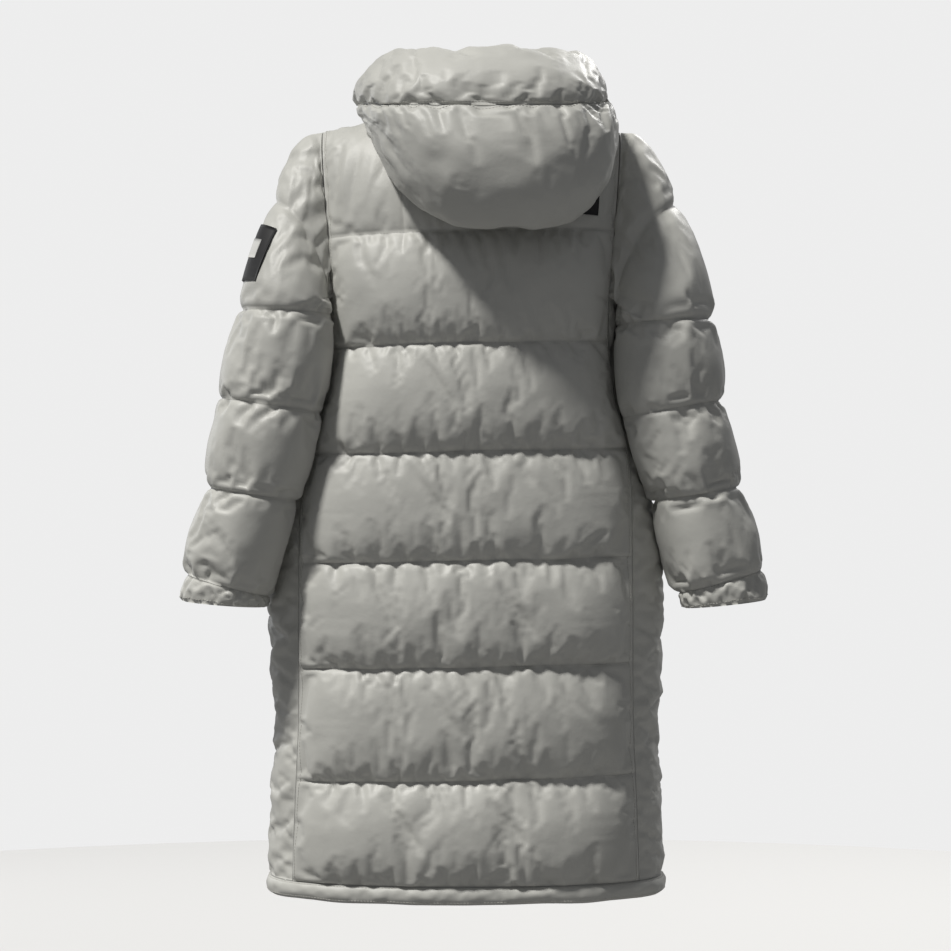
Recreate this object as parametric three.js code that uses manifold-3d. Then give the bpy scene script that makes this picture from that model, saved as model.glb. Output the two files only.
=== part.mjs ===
// Long padded coat with its hood down, filled out as if worn, with nobody in it.
// Millimetres, +Z up, +Y behind the wearer, +X to the wearer's left.
// The origin is at the base of the neck, between the shoulders.
// Every cloth piece is a closed wall: a plain inner surface and a quilted outer one.
import * as THREE from 'three';
import Module from 'manifold-3d';
import { mergeVertices } from 'three/addons/utils/BufferGeometryUtils.js';

// Levels of the body, from the origin down
const UNDERARM_Z = -245;
const HEM_SEAM_Z = -1056;
const HEM_Z = -1080;
const QUILT_Z = [-157, -312, -461, -611, -757, -912, HEM_SEAM_Z];

// Half-breadths of the body's rings, and where the back and front panels meet the sides
const BODY = [
  { z: -245, halfWidth: 204, halfDepth: 128, seamX: 188, shiftX: 0 },
  { z: -320, halfWidth: 200, halfDepth: 130, seamX: 189, shiftX: 1 },
  { z: -390, halfWidth: 209, halfDepth: 130, seamX: 199, shiftX: 2 },
  { z: -460, halfWidth: 231, halfDepth: 130, seamX: 219, shiftX: 4 },
  { z: -520, halfWidth: 249, halfDepth: 130, seamX: 226, shiftX: 6 },
  { z: -590, halfWidth: 266, halfDepth: 131, seamX: 228, shiftX: 7 },
  { z: -680, halfWidth: 270, halfDepth: 132, seamX: 229, shiftX: 7 },
  { z: -770, halfWidth: 266, halfDepth: 132, seamX: 229, shiftX: 7 },
  { z: -850, halfWidth: 260.5, halfDepth: 132, seamX: 230, shiftX: 7 },
  { z: -920, halfWidth: 265, halfDepth: 133, seamX: 233, shiftX: 7 },
  { z: -1000, halfWidth: 268, halfDepth: 135, seamX: 236, shiftX: 7 },
  { z: -1080, halfWidth: 271.5, halfDepth: 135, seamX: 238, shiftX: 7 },
];
const BODY_ROUNDNESS = 2.4;

// Neckline and shoulder line
const NECK_HALF_WIDTH = 90;
const NECK_SHARE = 0.46;
const NECK_SIDE = { y: 8, z: 12 };
const NECK_BACK = { y: 72, z: 8, turn: 65 };
const NECK_FRONT = { y: -72, z: -48, turn: 62 };
const SHOULDER_TIP = { x: 209, y: 4, z: -12 };
const SHOULDER_TURN = 82;

// Thickness of the padded cloth
const EDGE_WALL = 5;
const QUILT_WALL = 3.5;
const BODY_CREST = 22;
const YOKE_CREST = 15;
const SIDE_WALL = 8;
const HEM_CREST = 12;
const SLEEVE_CREST = 14;
const CUFF_FULLNESS = 0.35;
const LINING_WALL = 1.2;

// Clearance between pieces at a seam, and between a sleeve and the body
const SEAM_GAP = 0.3;
const EDGE_INSET = 0.25;
const ARMHOLE_SIDESTEP = 0.1;
const CUFF_SIDESTEP = 0.06;
const NECKLINE_INSET = 0.45;
const SLEEVE_CLEARANCE = 3;
const SLEEVE_LEAST_WALL = 4;
const SLEEVE_CLEAR_ROWS = 4;
const SLEEVE_FREE_Z = -215;
const SIDE_REACH = { y: 55, blend: 40 };
const CLEARING_PASSES = 6;

// Sleeve seams, from the first whole ring below the shoulder down to the cuff's edge.
// Outer and inner points are the outline seen from behind, x measured away from the middle.
const SLEEVE_LEFT = [
  { outerX: 317, outerZ: -264, innerX: 190, innerZ: -270, y: 62, halfDepth: 70 },
  { outerX: 346, outerZ: -386, innerX: 206, innerZ: -407, y: 68, halfDepth: 72 },
  { outerX: 361, outerZ: -511, innerX: 238, innerZ: -528, y: 72, halfDepth: 64 },
  { outerX: 393, outerZ: -631, innerX: 284, innerZ: -661, y: 66, halfDepth: 56 },
  { outerX: 402, outerZ: -668, innerX: 288, innerZ: -676, y: 64, halfDepth: 57 },
];
const SLEEVE_RIGHT = [
  { outerX: 332, outerZ: -275, innerX: 206, innerZ: -284, y: 46, halfDepth: 70 },
  { outerX: 346, outerZ: -389, innerX: 210, innerZ: -414, y: 50, halfDepth: 72 },
  { outerX: 371, outerZ: -510, innerX: 258, innerZ: -528, y: 50, halfDepth: 64 },
  { outerX: 405, outerZ: -626, innerX: 293, innerZ: -657, y: 50, halfDepth: 56 },
  { outerX: 412, outerZ: -667, innerX: 300, innerZ: -678, y: 50, halfDepth: 57 },
];
const CAP_SEAM_OUTER = 0.5;
const CAP_SEAM_UNDER = 0.27;
const CAP_SEAM_POWER = 1.5;
const CAP_ROWS = 3;
const CAP_WIDE = 110;
const CAP_LEAVES = new THREE.Vector3(1, 0, -0.35);
const CAP_FULLNESS = 0.5;
const CAP_LEAST_PULL = 45;
const UNDERARM_ANGLE = 125;
const CUFF_ROWS = 3;

// Hood, from the neckline over its fold, down the pouch and up to the rim.
// The widest point is at the side, back and front lie on the middle line, x leans the back.
// thick is the padded wall at that row.
const HOOD = [
  { w: 90, ySide: 4, zSide: 42, yBack: 74, zBack: 36, yFront: -74, zFront: -14, x: 0, thick: 5 },
  { w: 110, ySide: 6, zSide: 54, yBack: 108, zBack: 48, yFront: -82, zFront: 6, x: -4, thick: 6 },
  { w: 130, ySide: 10, zSide: 46, yBack: 152, zBack: 6, yFront: -90, zFront: 16, x: -14, thick: 6 },
  { w: 142, ySide: 14, zSide: 36, yBack: 168, zBack: -80, yFront: -96, zFront: 24, x: -30, thick: 6 },
  { w: 152, ySide: 18, zSide: 29, yBack: 178, zBack: -136, yFront: -99, zFront: 32, x: -44, thick: 7 },
  { w: 158, ySide: 20, zSide: 26, yBack: 196, zBack: -156, yFront: -101, zFront: 39, x: -52, thick: 10 },
  { w: 162, ySide: 22, zSide: 26, yBack: 220, zBack: -118, yFront: -102, zFront: 46, x: -52, thick: 13 },
  { w: 164, ySide: 22, zSide: 27, yBack: 229, zBack: -55, yFront: -102, zFront: 54, x: -44, thick: 13 },
  { w: 165, ySide: 22, zSide: 30, yBack: 215, zBack: 1, yFront: -102, zFront: 62, x: -30, thick: 5 },
  { w: 160, ySide: 20, zSide: 50, yBack: 197, zBack: 42, yFront: -100, zFront: 88, x: -28, thick: 13 },
  { w: 145, ySide: 14, zSide: 68, yBack: 150, zBack: 80, yFront: -92, zFront: 112, x: -24, thick: 12 },
  { w: 131, ySide: 12, zSide: 68, yBack: 122, zBack: 74, yFront: -83, zFront: 112, x: -24, thick: 5 },
];
const HOOD_SQUARENESS = 0.75;
const HOOD_DROP = 0.85;
const HOOD_SEAM_ROW = 8;
const LINING_FIRST_ROW = 2;

// Zip down the front
const ZIP_HALF_GAP = 10;
const TAPE_INNER = 1;
const TAPE_OUTER = 3;
const TAPE_TOP_ROW = 11;
const SLIDER = { width: 9, depth: 4, height: 13, z: 78, archWidth: 3, archReach: 5 };
const ARCH = { rootHalf: 5, topHalf: 4, root: 0.5, wall: 1.5, windowLow: -2.6, windowHigh: 2.8 };
const PULL = { width: 7, length: 30, thickness: 1.5, eyeWidth: 4.2, eyeLength: 6, bar: 1.8, tip: 3 };

// Patches, as rows and columns of the grid that they lie on, whole or between
const PATCH_THICKNESS = 1.2;
const SLEEVE_PATCH = { rows: [4, 5, 6], columns: [18, 19, 20, 21, 22, 23], lift: 0.3 };
const YOKE_PATCH = { rows: [4.65, 5.05, 5.45], columns: [1.45, 2, 2.5], lift: 0.9 };

// Resolution of the walls
const YOKE_ROWS = 6;
const CHANNEL_ROWS = 4;
const SIDE_COLUMNS = 4;
const NECK_COLUMNS = 5;
const SHOULDER_STEPS = [0.3, 0.6, 0.85, 1];
const HEM_ROWS = [
  { z: HEM_SEAM_Z - SEAM_GAP / 2, full: 0 },
  { z: -1064, full: 1 },
  { z: -1072, full: 1 },
  { z: HEM_Z, full: 0 },
];

const CLOTH = new THREE.Color(0.62, 0.61, 0.57);
const DARK_CLOTH = new THREE.Color(0.09, 0.08, 0.1);
const BLACK = new THREE.Color(0.02, 0.02, 0.02);
const METAL = new THREE.Color(0.55, 0.55, 0.56);

const radians = THREE.MathUtils.degToRad;
const mix = THREE.MathUtils.lerp;
const clamp = THREE.MathUtils.clamp;
const vector = (x, y, z) => new THREE.Vector3(x, y, z);
const coat = new THREE.Group();

/** Smooth value of a table's column, where the rows are in order of the key column. */
function column(table, key, at, name) {
  const last = table.length - 1;
  const way = Math.sign(table[last][key] - table[0][key]);
  let row = 0;
  while (row < last - 1 && way * at > way * table[row + 1][key]) row += 1;
  const slope = (k) => {
    const before = table[Math.max(k - 1, 0)];
    const after = table[Math.min(k + 1, last)];
    return (after[name] - before[name]) / (after[key] - before[key]);
  };
  const step = table[row + 1][key] - table[row][key];
  const t = clamp((at - table[row][key]) / step, 0, 1);
  return hermite(table[row][name], slope(row) * step, table[row + 1][name], slope(row + 1) * step, t);
}

/** Cubic between two values with given slopes at its ends. */
function hermite(from, slopeFrom, to, slopeTo, t) {
  const t2 = t * t;
  const t3 = t2 * t;
  return (2 * t3 - 3 * t2 + 1) * from + (t3 - 2 * t2 + t) * slopeFrom
    + (3 * t2 - 2 * t3) * to + (t3 - t2) * slopeTo;
}

const body = (z, name) => column(BODY, 'z', z, name);

/** Swell of a quilted channel, 0 at its seams and 1 at its crest. */
const swell = (t) => Math.max(0, 1 - Math.abs(2 * t - 1) ** 2.4) ** 0.7;

/** Fading of the padding towards a panel's two side edges. */
const edgeFade = (t) => Math.max(0, 1 - Math.abs(2 * t - 1) ** 8) ** 0.5;

/** Point of a body ring at x from its middle, on the back (side 1) or front (side -1). */
function bodyPoint(z, x, side) {
  const reach = Math.min(1, Math.abs(x) / body(z, 'halfWidth'));
  const y = side * body(z, 'halfDepth') * (1 - reach ** BODY_ROUNDNESS) ** (1 / BODY_ROUNDNESS);
  return vector(x + body(z, 'shiftX'), y, z);
}

/** Point of a side panel, t from 0 at its back seam to 1 at its front seam. */
function sidePoint(z, t, hand) {
  const a = body(z, 'halfWidth');
  const seam = Math.asin((body(z, 'seamX') / a) ** (BODY_ROUNDNESS / 2));
  const angle = seam + (Math.PI - 2 * seam) * t;
  const power = 2 / BODY_ROUNDNESS;
  const y = body(z, 'halfDepth') * Math.sign(Math.cos(angle)) * Math.abs(Math.cos(angle)) ** power;
  return vector(hand * a * Math.sin(angle) ** power + body(z, 'shiftX'), y, z);
}

/** How far out a point is against its body ring: 1 on the ring. */
function bodyMeasure(p) {
  const x = Math.abs(p.x - body(p.z, 'shiftX')) / body(p.z, 'halfWidth');
  const y = Math.abs(p.y) / body(p.z, 'halfDepth');
  return (x ** BODY_ROUNDNESS + y ** BODY_ROUNDNESS) ** (1 / BODY_ROUNDNESS);
}

/** Steepest way out of the body at a point. */
function bodyGradient(p) {
  const h = 0.5;
  const along = (x, y, z) => bodyMeasure(vector(p.x + x, p.y + y, p.z + z))
    - bodyMeasure(vector(p.x - x, p.y - y, p.z - z));
  return vector(along(h, 0, 0), along(0, h, 0), along(0, 0, h)).divideScalar(2 * h);
}

const bodyNormal = (p) => bodyGradient(p).normalize();

/** Top edge of the back or front panel: neckline near the middle, then the shoulder seam. */
function topEdge(s, side) {
  const middle = side > 0 ? NECK_BACK : NECK_FRONT;
  const share = Math.abs(s) / NECK_SHARE;
  if (share <= 1) {
    const round = Math.sqrt(1 - share * share);
    const y = mix(NECK_SIDE.y, middle.y, round) + side * SEAM_GAP / 2;
    return vector(Math.sign(s) * NECK_HALF_WIDTH * share, y, mix(NECK_SIDE.z, middle.z, round));
  }
  const t = (Math.abs(s) - NECK_SHARE) / (1 - NECK_SHARE);
  const x = mix(NECK_HALF_WIDTH, SHOULDER_TIP.x, t);
  const y = mix(NECK_SIDE.y, SHOULDER_TIP.y, t) + side * SEAM_GAP / 2;
  return vector(Math.sign(s) * x, y, mix(NECK_SIDE.z, SHOULDER_TIP.z, t));
}

/** Turn of the upper panel's meridian, from upright at the underarm to its top edge. */
function turnOf(s, side) {
  const middle = side > 0 ? NECK_BACK.turn : NECK_FRONT.turn;
  return radians(mix(middle, SHOULDER_TURN, Math.min(1, Math.abs(s) / NECK_SHARE)));
}

/** Point of the upper back or front, level 0 at the underarm and 1 at the top edge. */
function upperPoint(s, side, level) {
  const low = bodyPoint(UNDERARM_Z, s * body(UNDERARM_Z, 'seamX'), side);
  const top = topEdge(s, side);
  const turn = turnOf(s, side);
  const rise = Math.sin(level * turn) / Math.sin(turn);
  const lean = (Math.cos(level * turn) - Math.cos(turn)) / (1 - Math.cos(turn));
  return vector(mix(low.x, top.x, rise), mix(top.y, low.y, lean), mix(low.z, top.z, rise));
}

/** Level at which the upper panel passes a height. */
function upperLevel(s, side, z) {
  const top = topEdge(s, side);
  const turn = turnOf(s, side);
  return Math.asin(Math.sin(turn) * (z - UNDERARM_Z) / (top.z - UNDERARM_Z)) / turn;
}

/** Outward normal of the upper back or front. */
function upperNormal(s, side, level) {
  const h = 0.004;
  const across = upperPoint(s + h, side, level).sub(upperPoint(s - h, side, level));
  const up = upperPoint(s, side, Math.min(1, level + h)).sub(upperPoint(s, side, level - h));
  const normal = across.cross(up).normalize();
  return normal.y * side < 0 || normal.z < -0.2 ? normal.negate() : normal;
}

/** Rows of a quilted panel: heights below the first quilt seam, each with its channel. */
function channelRows() {
  const rows = [];
  for (let c = 1; c < QUILT_Z.length; c += 1) {
    for (let k = 1; k <= CHANNEL_ROWS; k += 1) {
      const t = k / CHANNEL_ROWS;
      let z = mix(QUILT_Z[c - 1], QUILT_Z[c], t);
      if (c === 1 && k === 2) z = UNDERARM_Z;
      rows.push({ z, t });
    }
  }
  return rows;
}

/** Closed mesh between an outer and an inner grid, joined along their free edges. */
function wall(outer, inner, round) {
  const rows = outer.length;
  const columns = outer[0].length;
  const position = [...outer.flat(), ...inner.flat()].flatMap((p) => [p.x, p.y, p.z]);
  const out = (r, c) => r * columns + (c % columns);
  const into = (r, c) => rows * columns + out(r, c);
  const index = [];
  const quad = (a, b, c, d) => index.push(a, b, c, a, c, d);
  const spans = round ? columns : columns - 1;
  for (let c = 0; c < spans; c += 1) {
    for (let r = 0; r < rows - 1; r += 1) {
      quad(out(r, c), out(r + 1, c), out(r + 1, c + 1), out(r, c + 1));
      quad(into(r, c), into(r, c + 1), into(r + 1, c + 1), into(r + 1, c));
    }
    quad(out(0, c), out(0, c + 1), into(0, c + 1), into(0, c));
    quad(out(rows - 1, c), into(rows - 1, c), into(rows - 1, c + 1), out(rows - 1, c + 1));
  }
  for (let r = 0; !round && r < rows - 1; r += 1) {
    const end = columns - 1;
    quad(out(r, 0), into(r, 0), into(r + 1, 0), out(r + 1, 0));
    quad(out(r, end), out(r + 1, end), into(r + 1, end), into(r, end));
  }
  const geometry = new THREE.BufferGeometry();
  geometry.setAttribute('position', new THREE.Float32BufferAttribute(position, 3));
  geometry.setIndex(signedVolume(position, index) < 0 ? index.reverse() : index);
  return geometry;
}

/** Volume inside a closed mesh, negative where its faces point in. */
function signedVolume(position, index) {
  const at = (i) => vector(position[3 * i], position[3 * i + 1], position[3 * i + 2]);
  let volume = 0;
  for (let i = 0; i < index.length; i += 3) {
    volume += at(index[i]).dot(at(index[i + 1]).cross(at(index[i + 2]))) / 6;
  }
  return volume;
}

/** Normals of a grid of points, turned so that the one at the probe points the given way. */
function gridNormals(grid, round, probe, way) {
  const columns = grid[0].length;
  const normals = grid.map((row, r) => row.map((_, c) => {
    const before = round ? (c + columns - 1) % columns : Math.max(c - 1, 0);
    const after = round ? (c + 1) % columns : Math.min(c + 1, columns - 1);
    const across = row[after].clone().sub(row[before]);
    const down = grid[Math.min(r + 1, grid.length - 1)][c].clone().sub(grid[Math.max(r - 1, 0)][c]);
    return across.cross(down).normalize();
  }));
  const turn = normals[probe.row][probe.column].dot(way) < 0 ? -1 : 1;
  normals.flat().forEach((normal) => normal.multiplyScalar(turn));
  return normals;
}

/** Grid moved along normals by a thickness for each row and column. */
function moved(grid, normals, thickness) {
  return grid.map((row, r) => row.map((p, c) => p.clone().addScaledVector(normals[r][c], thickness(r, c))));
}

function addMesh(name, geometry, colour, roughness = 0.7, metalness = 0) {
  geometry.computeVertexNormals();
  const material = new THREE.MeshStandardMaterial({ color: colour, roughness, metalness, name });
  const mesh = new THREE.Mesh(geometry, material);
  mesh.name = name;
  coat.add(mesh);
}

/** Columns of a panel as shares of its half-breadth, from the middle to the side seam. */
function halfColumns() {
  const neck = [];
  for (let k = 0; k <= NECK_COLUMNS; k += 1) {
    neck.push(NECK_SHARE * Math.sin(radians(90 * k / NECK_COLUMNS)));
  }
  return [...neck, ...SHOULDER_STEPS.map((t) => mix(NECK_SHARE, 1, t))];
}

/** Quilted panel from its columns: each a share of the half-breadth, side 1 back, -1 front. */
function quiltedPanel(shares, side) {
  const inner = [];
  const outer = [];
  const first = shares[0];
  const last = shares[shares.length - 1];
  const fade = shares.map((s) => edgeFade((s - first) / (last - first)));
  const addRow = (points, normals, t, crest) => {
    const thickness = fade.map((f) => {
      const edge = mix(QUILT_WALL, EDGE_WALL, 1 - f);
      return edge + (crest - edge) * f * swell(t);
    });
    inner.push(points);
    outer.push(points.map((p, c) => p.clone().addScaledVector(normals[c], thickness[c])));
  };
  for (let k = 0; k <= YOKE_ROWS; k += 1) {
    const levels = shares.map((s) => mix(1, upperLevel(s, side, QUILT_Z[0]), k / YOKE_ROWS));
    const points = shares.map((s, c) => upperPoint(s, side, levels[c]));
    const normals = shares.map((s, c) => upperNormal(s, side, levels[c]));
    addRow(points, normals, k / YOKE_ROWS, YOKE_CREST);
  }
  inner[0].forEach((p, c) => outer[0][c].copy(p).addScaledVector(
    upperNormal(shares[c], side, 1),
    EDGE_WALL,
  ));
  for (const { z, t } of channelRows()) {
    if (z > UNDERARM_Z) {
      const levels = shares.map((s) => upperLevel(s, side, z));
      const points = shares.map((s, c) => upperPoint(s, side, levels[c]));
      addRow(points, shares.map((s, c) => upperNormal(s, side, levels[c])), t, BODY_CREST);
    } else {
      const seamX = body(z, 'seamX');
      const points = shares.map((s) => {
        const zipSide = Math.abs(s) < ZIP_HALF_GAP / body(UNDERARM_Z, 'seamX') + 1e-6 && s !== 0;
        const x = zipSide ? Math.sign(s) * ZIP_HALF_GAP : s * seamX;
        const inset = Math.abs(s) === 1 ? Math.sign(s) * EDGE_INSET : 0;
        return bodyPoint(z === HEM_SEAM_Z ? z + SEAM_GAP / 2 : z, x - inset, side);
      });
      addRow(points, points.map(bodyNormal), t, BODY_CREST);
    }
  }
  outer[outer.length - 1] = inner[inner.length - 1].map((p) => (
    p.clone().addScaledVector(bodyNormal(p), EDGE_WALL)));
  return { inner, outer };
}

const half = halfColumns();
const zipShare = ZIP_HALF_GAP / body(UNDERARM_Z, 'seamX');
const frontHalf = [zipShare, ...half.slice(1)];
const mirrored = (shares) => shares.map((s) => -s).reverse();
const UNDERARM_ROW = YOKE_ROWS + 2;

// Places on the grids that face out: a sleeve's outer side, and the middle of the back
const OUTER_SIDE = { row: 8, column: 0 };
const BACK_MIDDLE = { row: UNDERARM_ROW, column: half.length - 1 };

const back = quiltedPanel([...mirrored(half.slice(1)), ...half], 1);
const frontLeft = quiltedPanel(frontHalf, -1);
const frontRight = quiltedPanel(mirrored(frontHalf), -1);
addMesh('back', wall(back.outer, back.inner), CLOTH);
addMesh('front_left', wall(frontLeft.outer, frontLeft.inner), CLOTH);
addMesh('front_right', wall(frontRight.outer, frontRight.inner), CLOTH);

/** Side panel below the underarm, plain padding, its top edge mitred for the sleeve. */
function sidePanel(hand) {
  const heights = channelRows().map((row) => row.z).filter((z) => z <= UNDERARM_Z);
  const inner = [];
  const outer = [];
  heights.forEach((z, r) => {
    const last = r === heights.length - 1;
    const level = last ? z + SEAM_GAP / 2 : z;
    const points = [];
    const outside = [];
    for (let c = 0; c <= SIDE_COLUMNS; c += 1) {
      const t = c / SIDE_COLUMNS;
      const p = sidePoint(level, t, hand);
      const full = r === 0 || last ? 0 : Math.sin(Math.PI * t);
      const q = p.clone().addScaledVector(bodyNormal(p), mix(EDGE_WALL, SIDE_WALL, full));
      if (r === 0) q.z -= EDGE_WALL * Math.sin(Math.PI * t);
      points.push(p);
      outside.push(q);
    }
    inner.push(points);
    outer.push(outside);
  });
  return { inner, outer };
}

/** Hem band: one ring of cloth from the zip round the back to the zip. */
function hemBand() {
  const sideSteps = Array.from({ length: SIDE_COLUMNS - 1 }, (_, c) => (c + 1) / SIDE_COLUMNS);
  const inner = [];
  const outer = [];
  for (const { z, full } of HEM_ROWS) {
    const seamX = body(z, 'seamX');
    const front = frontHalf.map((s, k) => (k === 0 ? ZIP_HALF_GAP : s * seamX));
    const points = [
      ...front.map((x) => bodyPoint(z, x, -1)),
      ...sideSteps.slice().reverse().map((t) => sidePoint(z, t, 1)),
      ...half.slice().reverse().map((s) => bodyPoint(z, s * seamX, 1)),
      ...half.slice(1).map((s) => bodyPoint(z, -s * seamX, 1)),
      ...sideSteps.map((t) => sidePoint(z, t, -1)),
      ...front.slice().reverse().map((x) => bodyPoint(z, -x, -1)),
    ];
    inner.push(points);
    outer.push(points.map((p) => p.clone().addScaledVector(bodyNormal(p), mix(EDGE_WALL, HEM_CREST, full))));
  }
  return wall(outer, inner);
}

addMesh('hem_band', hemBand(), CLOTH);

/** Moves a sleeve's point out of the body until it keeps its clearance. */
function clearOfBody(p, room) {
  if (p.z > SLEEVE_FREE_Z) return;
  const rounding = clamp((Math.abs(p.y) - SIDE_REACH.y) / SIDE_REACH.blend, 0, 1);
  const padding = mix(SIDE_WALL, BODY_CREST, rounding) + SLEEVE_CLEARANCE + room;
  for (let pass = 0; pass < CLEARING_PASSES; pass += 1) {
    const level = vector(p.x, p.y, Math.min(p.z, UNDERARM_Z));
    const gradient = bodyGradient(level);
    const distance = (bodyMeasure(level) - 1) / gradient.length();
    if (distance >= padding) return;
    gradient.z = 0;
    p.addScaledVector(gradient.normalize(), padding - distance);
  }
}

/** Armhole of one hand: the edges of the back, side and front panels as one loop. */
function armhole(hand, side) {
  const backEdge = hand > 0 ? back.inner[0].length - 1 : 0;
  const front = hand > 0 ? frontLeft : frontRight;
  const frontEdge = hand > 0 ? front.inner[0].length - 1 : 0;
  const clear = vector(hand * SEAM_GAP, 0, 0);
  const lift = vector(hand * ARMHOLE_SIDESTEP, 0, SEAM_GAP);
  const loop = [];
  const add = (inner, outer, shift, angle) => loop.push({
    inner: inner.clone().add(shift), outer: outer.clone().add(shift), angle: radians(angle),
  });
  const middle = (p, q) => p.clone().lerp(q, 0.5);
  add(
    middle(back.inner[0][backEdge], front.inner[0][frontEdge]),
    middle(back.outer[0][backEdge], front.outer[0][frontEdge]),
    clear,
    0,
  );
  for (let r = 1; r < UNDERARM_ROW; r += 1) {
    add(back.inner[r][backEdge], back.outer[r][backEdge], clear, UNDERARM_ANGLE * r / UNDERARM_ROW);
  }
  for (let c = 0; c <= SIDE_COLUMNS; c += 1) {
    const angle = mix(UNDERARM_ANGLE, 360 - UNDERARM_ANGLE, c / SIDE_COLUMNS);
    add(side.inner[0][c], side.outer[0][c], lift, angle);
  }
  for (let r = UNDERARM_ROW - 1; r > 0; r -= 1) {
    const angle = 360 - UNDERARM_ANGLE * r / UNDERARM_ROW;
    add(front.inner[r][frontEdge], front.outer[r][frontEdge], clear, angle);
  }
  return loop;
}

/** Point of a sleeve ring at an angle: 0 outside, 90 at the back, 180 against the body. */
function ringPoint(ring, angle, hand) {
  const reach = vector((ring.outerX - ring.innerX) / 2, 0, (ring.outerZ - ring.innerZ) / 2);
  reach.setLength(reach.length() - QUILT_WALL);
  const x = (ring.outerX + ring.innerX) / 2 + reach.x * Math.cos(angle);
  const z = (ring.outerZ + ring.innerZ) / 2 + reach.z * Math.cos(angle);
  return vector(hand * x, ring.y + ring.halfDepth * Math.sin(angle), z);
}

/** Sleeve and cuff of one hand, from the armhole to the cuff's edge. */
function sleeve(hand, rings, side) {
  const loop = armhole(hand, side);
  const inner = [loop.map((p) => p.inner.clone())];
  const full = [loop.map(() => 0)];
  const capPoint = (k, v) => {
    const start = loop[k].inner;
    const end = ringPoint(rings[0], loop[k].angle, hand);
    const reach = start.distanceTo(end);
    const leave = CAP_LEAVES.clone().multiply(vector(hand, 1, 1)).normalize();
    leave.multiplyScalar(Math.max(reach * CAP_FULLNESS, CAP_LEAST_PULL));
    const arrive = ringPoint(rings[1], loop[k].angle, hand).sub(end).setLength(reach);
    return vector(
      hermite(start.x, leave.x, end.x, arrive.x, v),
      hermite(start.y, leave.y, end.y, arrive.y, v),
      hermite(start.z, leave.z, end.z, arrive.z, v),
    );
  };
  const capSeam = loop.map(({ angle }) => (
    mix(CAP_SEAM_UNDER, CAP_SEAM_OUTER, ((1 + Math.cos(angle)) / 2) ** CAP_SEAM_POWER)));
  const width = (k, from, to) => Math.min(1, capPoint(k, from).distanceTo(capPoint(k, to)) / CAP_WIDE);
  for (let r = 1; r <= CAP_ROWS; r += 1) {
    inner.push(loop.map((_, k) => capPoint(k, capSeam[k] * r / CAP_ROWS)));
    full.push(loop.map((_, k) => width(k, 0, capSeam[k]) * swell(r / CAP_ROWS)));
  }
  for (let r = 1; r <= CHANNEL_ROWS; r += 1) {
    inner.push(loop.map((_, k) => capPoint(k, mix(capSeam[k], 1, r / CHANNEL_ROWS))));
    full.push(loop.map((_, k) => width(k, capSeam[k], 1) * swell(r / CHANNEL_ROWS)));
  }
  const addChannel = (from, to, steps, fullness) => {
    for (let r = 1; r <= steps; r += 1) {
      const t = r / steps;
      inner.push(loop.map(({ angle }) => (
        ringPoint(from, angle, hand).lerp(ringPoint(to, angle, hand), t))));
      full.push(loop.map(() => fullness * swell(t)));
    }
  };
  for (let c = 0; c < 3; c += 1) addChannel(rings[c], rings[c + 1], CHANNEL_ROWS, 1);
  const sleeveRows = inner.length;
  addChannel(rings[3], rings[4], CUFF_ROWS, CUFF_FULLNESS);

  const normals = gridNormals(inner, true, OUTER_SIDE, vector(hand, 0, 0));
  const outer = moved(inner, normals, (r, c) => mix(QUILT_WALL, SLEEVE_CREST, full[r][c]));
  outer[0] = loop.map((p) => p.outer.clone());
  for (let r = 1; r < inner.length; r += 1) {
    const away = Math.min(1, r / SLEEVE_CLEAR_ROWS);
    outer[r].forEach((p) => clearOfBody(p, (away - 1) * SLEEVE_CLEARANCE));
    inner[r].forEach((p) => clearOfBody(p, SLEEVE_LEAST_WALL + (away - 1) * SLEEVE_CLEARANCE));
  }
  const top = { outer: outer.slice(0, sleeveRows), inner: inner.slice(0, sleeveRows) };
  const cut = (grid) => grid.slice(sleeveRows - 1).map((row, r) => row.map((p) => (
    r === 0 ? p.clone().add(vector(hand * CUFF_SIDESTEP, 0, -SEAM_GAP)) : p)));
  return { top, cuff: { outer: cut(outer), inner: cut(inner) } };
}

const sleeves = {};
for (const [name, hand, rings] of [['left', 1, SLEEVE_LEFT], ['right', -1, SLEEVE_RIGHT]]) {
  const side = sidePanel(hand);
  addMesh(`side_${name}`, wall(side.outer, side.inner), CLOTH);
  sleeves[name] = sleeve(hand, rings, side);
  const { top, cuff } = sleeves[name];
  addMesh(`sleeve_${name}`, wall(top.outer, top.inner, true), CLOTH);
  addMesh(`cuff_${name}`, wall(cuff.outer, cuff.inner, true), CLOTH);
}

/** Angles round the hood from the front zip over the wearer's left, the back and the right. */
function hoodAngles() {
  const angles = [];
  for (let a = 180; a > 90; a -= 90 / NECK_COLUMNS) angles.push(a);
  for (let a = 90; a >= -90; a -= 45 / NECK_COLUMNS) angles.push(a);
  for (let a = -90 - 90 / NECK_COLUMNS; a >= -180; a -= 90 / NECK_COLUMNS) angles.push(a);
  return angles;
}

/** Point of the hood's lining side at a row, whole or between, and an angle from the back. */
function hoodPoint(row, degrees) {
  const at = (name) => column(HOOD.map((r, k) => ({ ...r, k })), 'k', row, name);
  const angle = radians(degrees);
  const cosine = Math.cos(angle);
  const ends = Math.abs(cosine) ** HOOD_SQUARENESS;
  const [y, z] = cosine > 0 ? [at('yBack'), at('zBack')] : [at('yFront'), at('zFront')];
  const drop = Math.abs(cosine) ** HOOD_DROP;
  const lean = at('x') * (1 + cosine) / 2;
  const across = Math.abs(degrees) > 179 ? Math.sign(degrees) * ZIP_HALF_GAP
    : Math.sign(angle) * at('w') * Math.abs(Math.sin(angle)) ** HOOD_SQUARENESS;
  return vector(across + lean, mix(at('ySide'), y, ends), mix(at('zSide'), z, drop));
}

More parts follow.
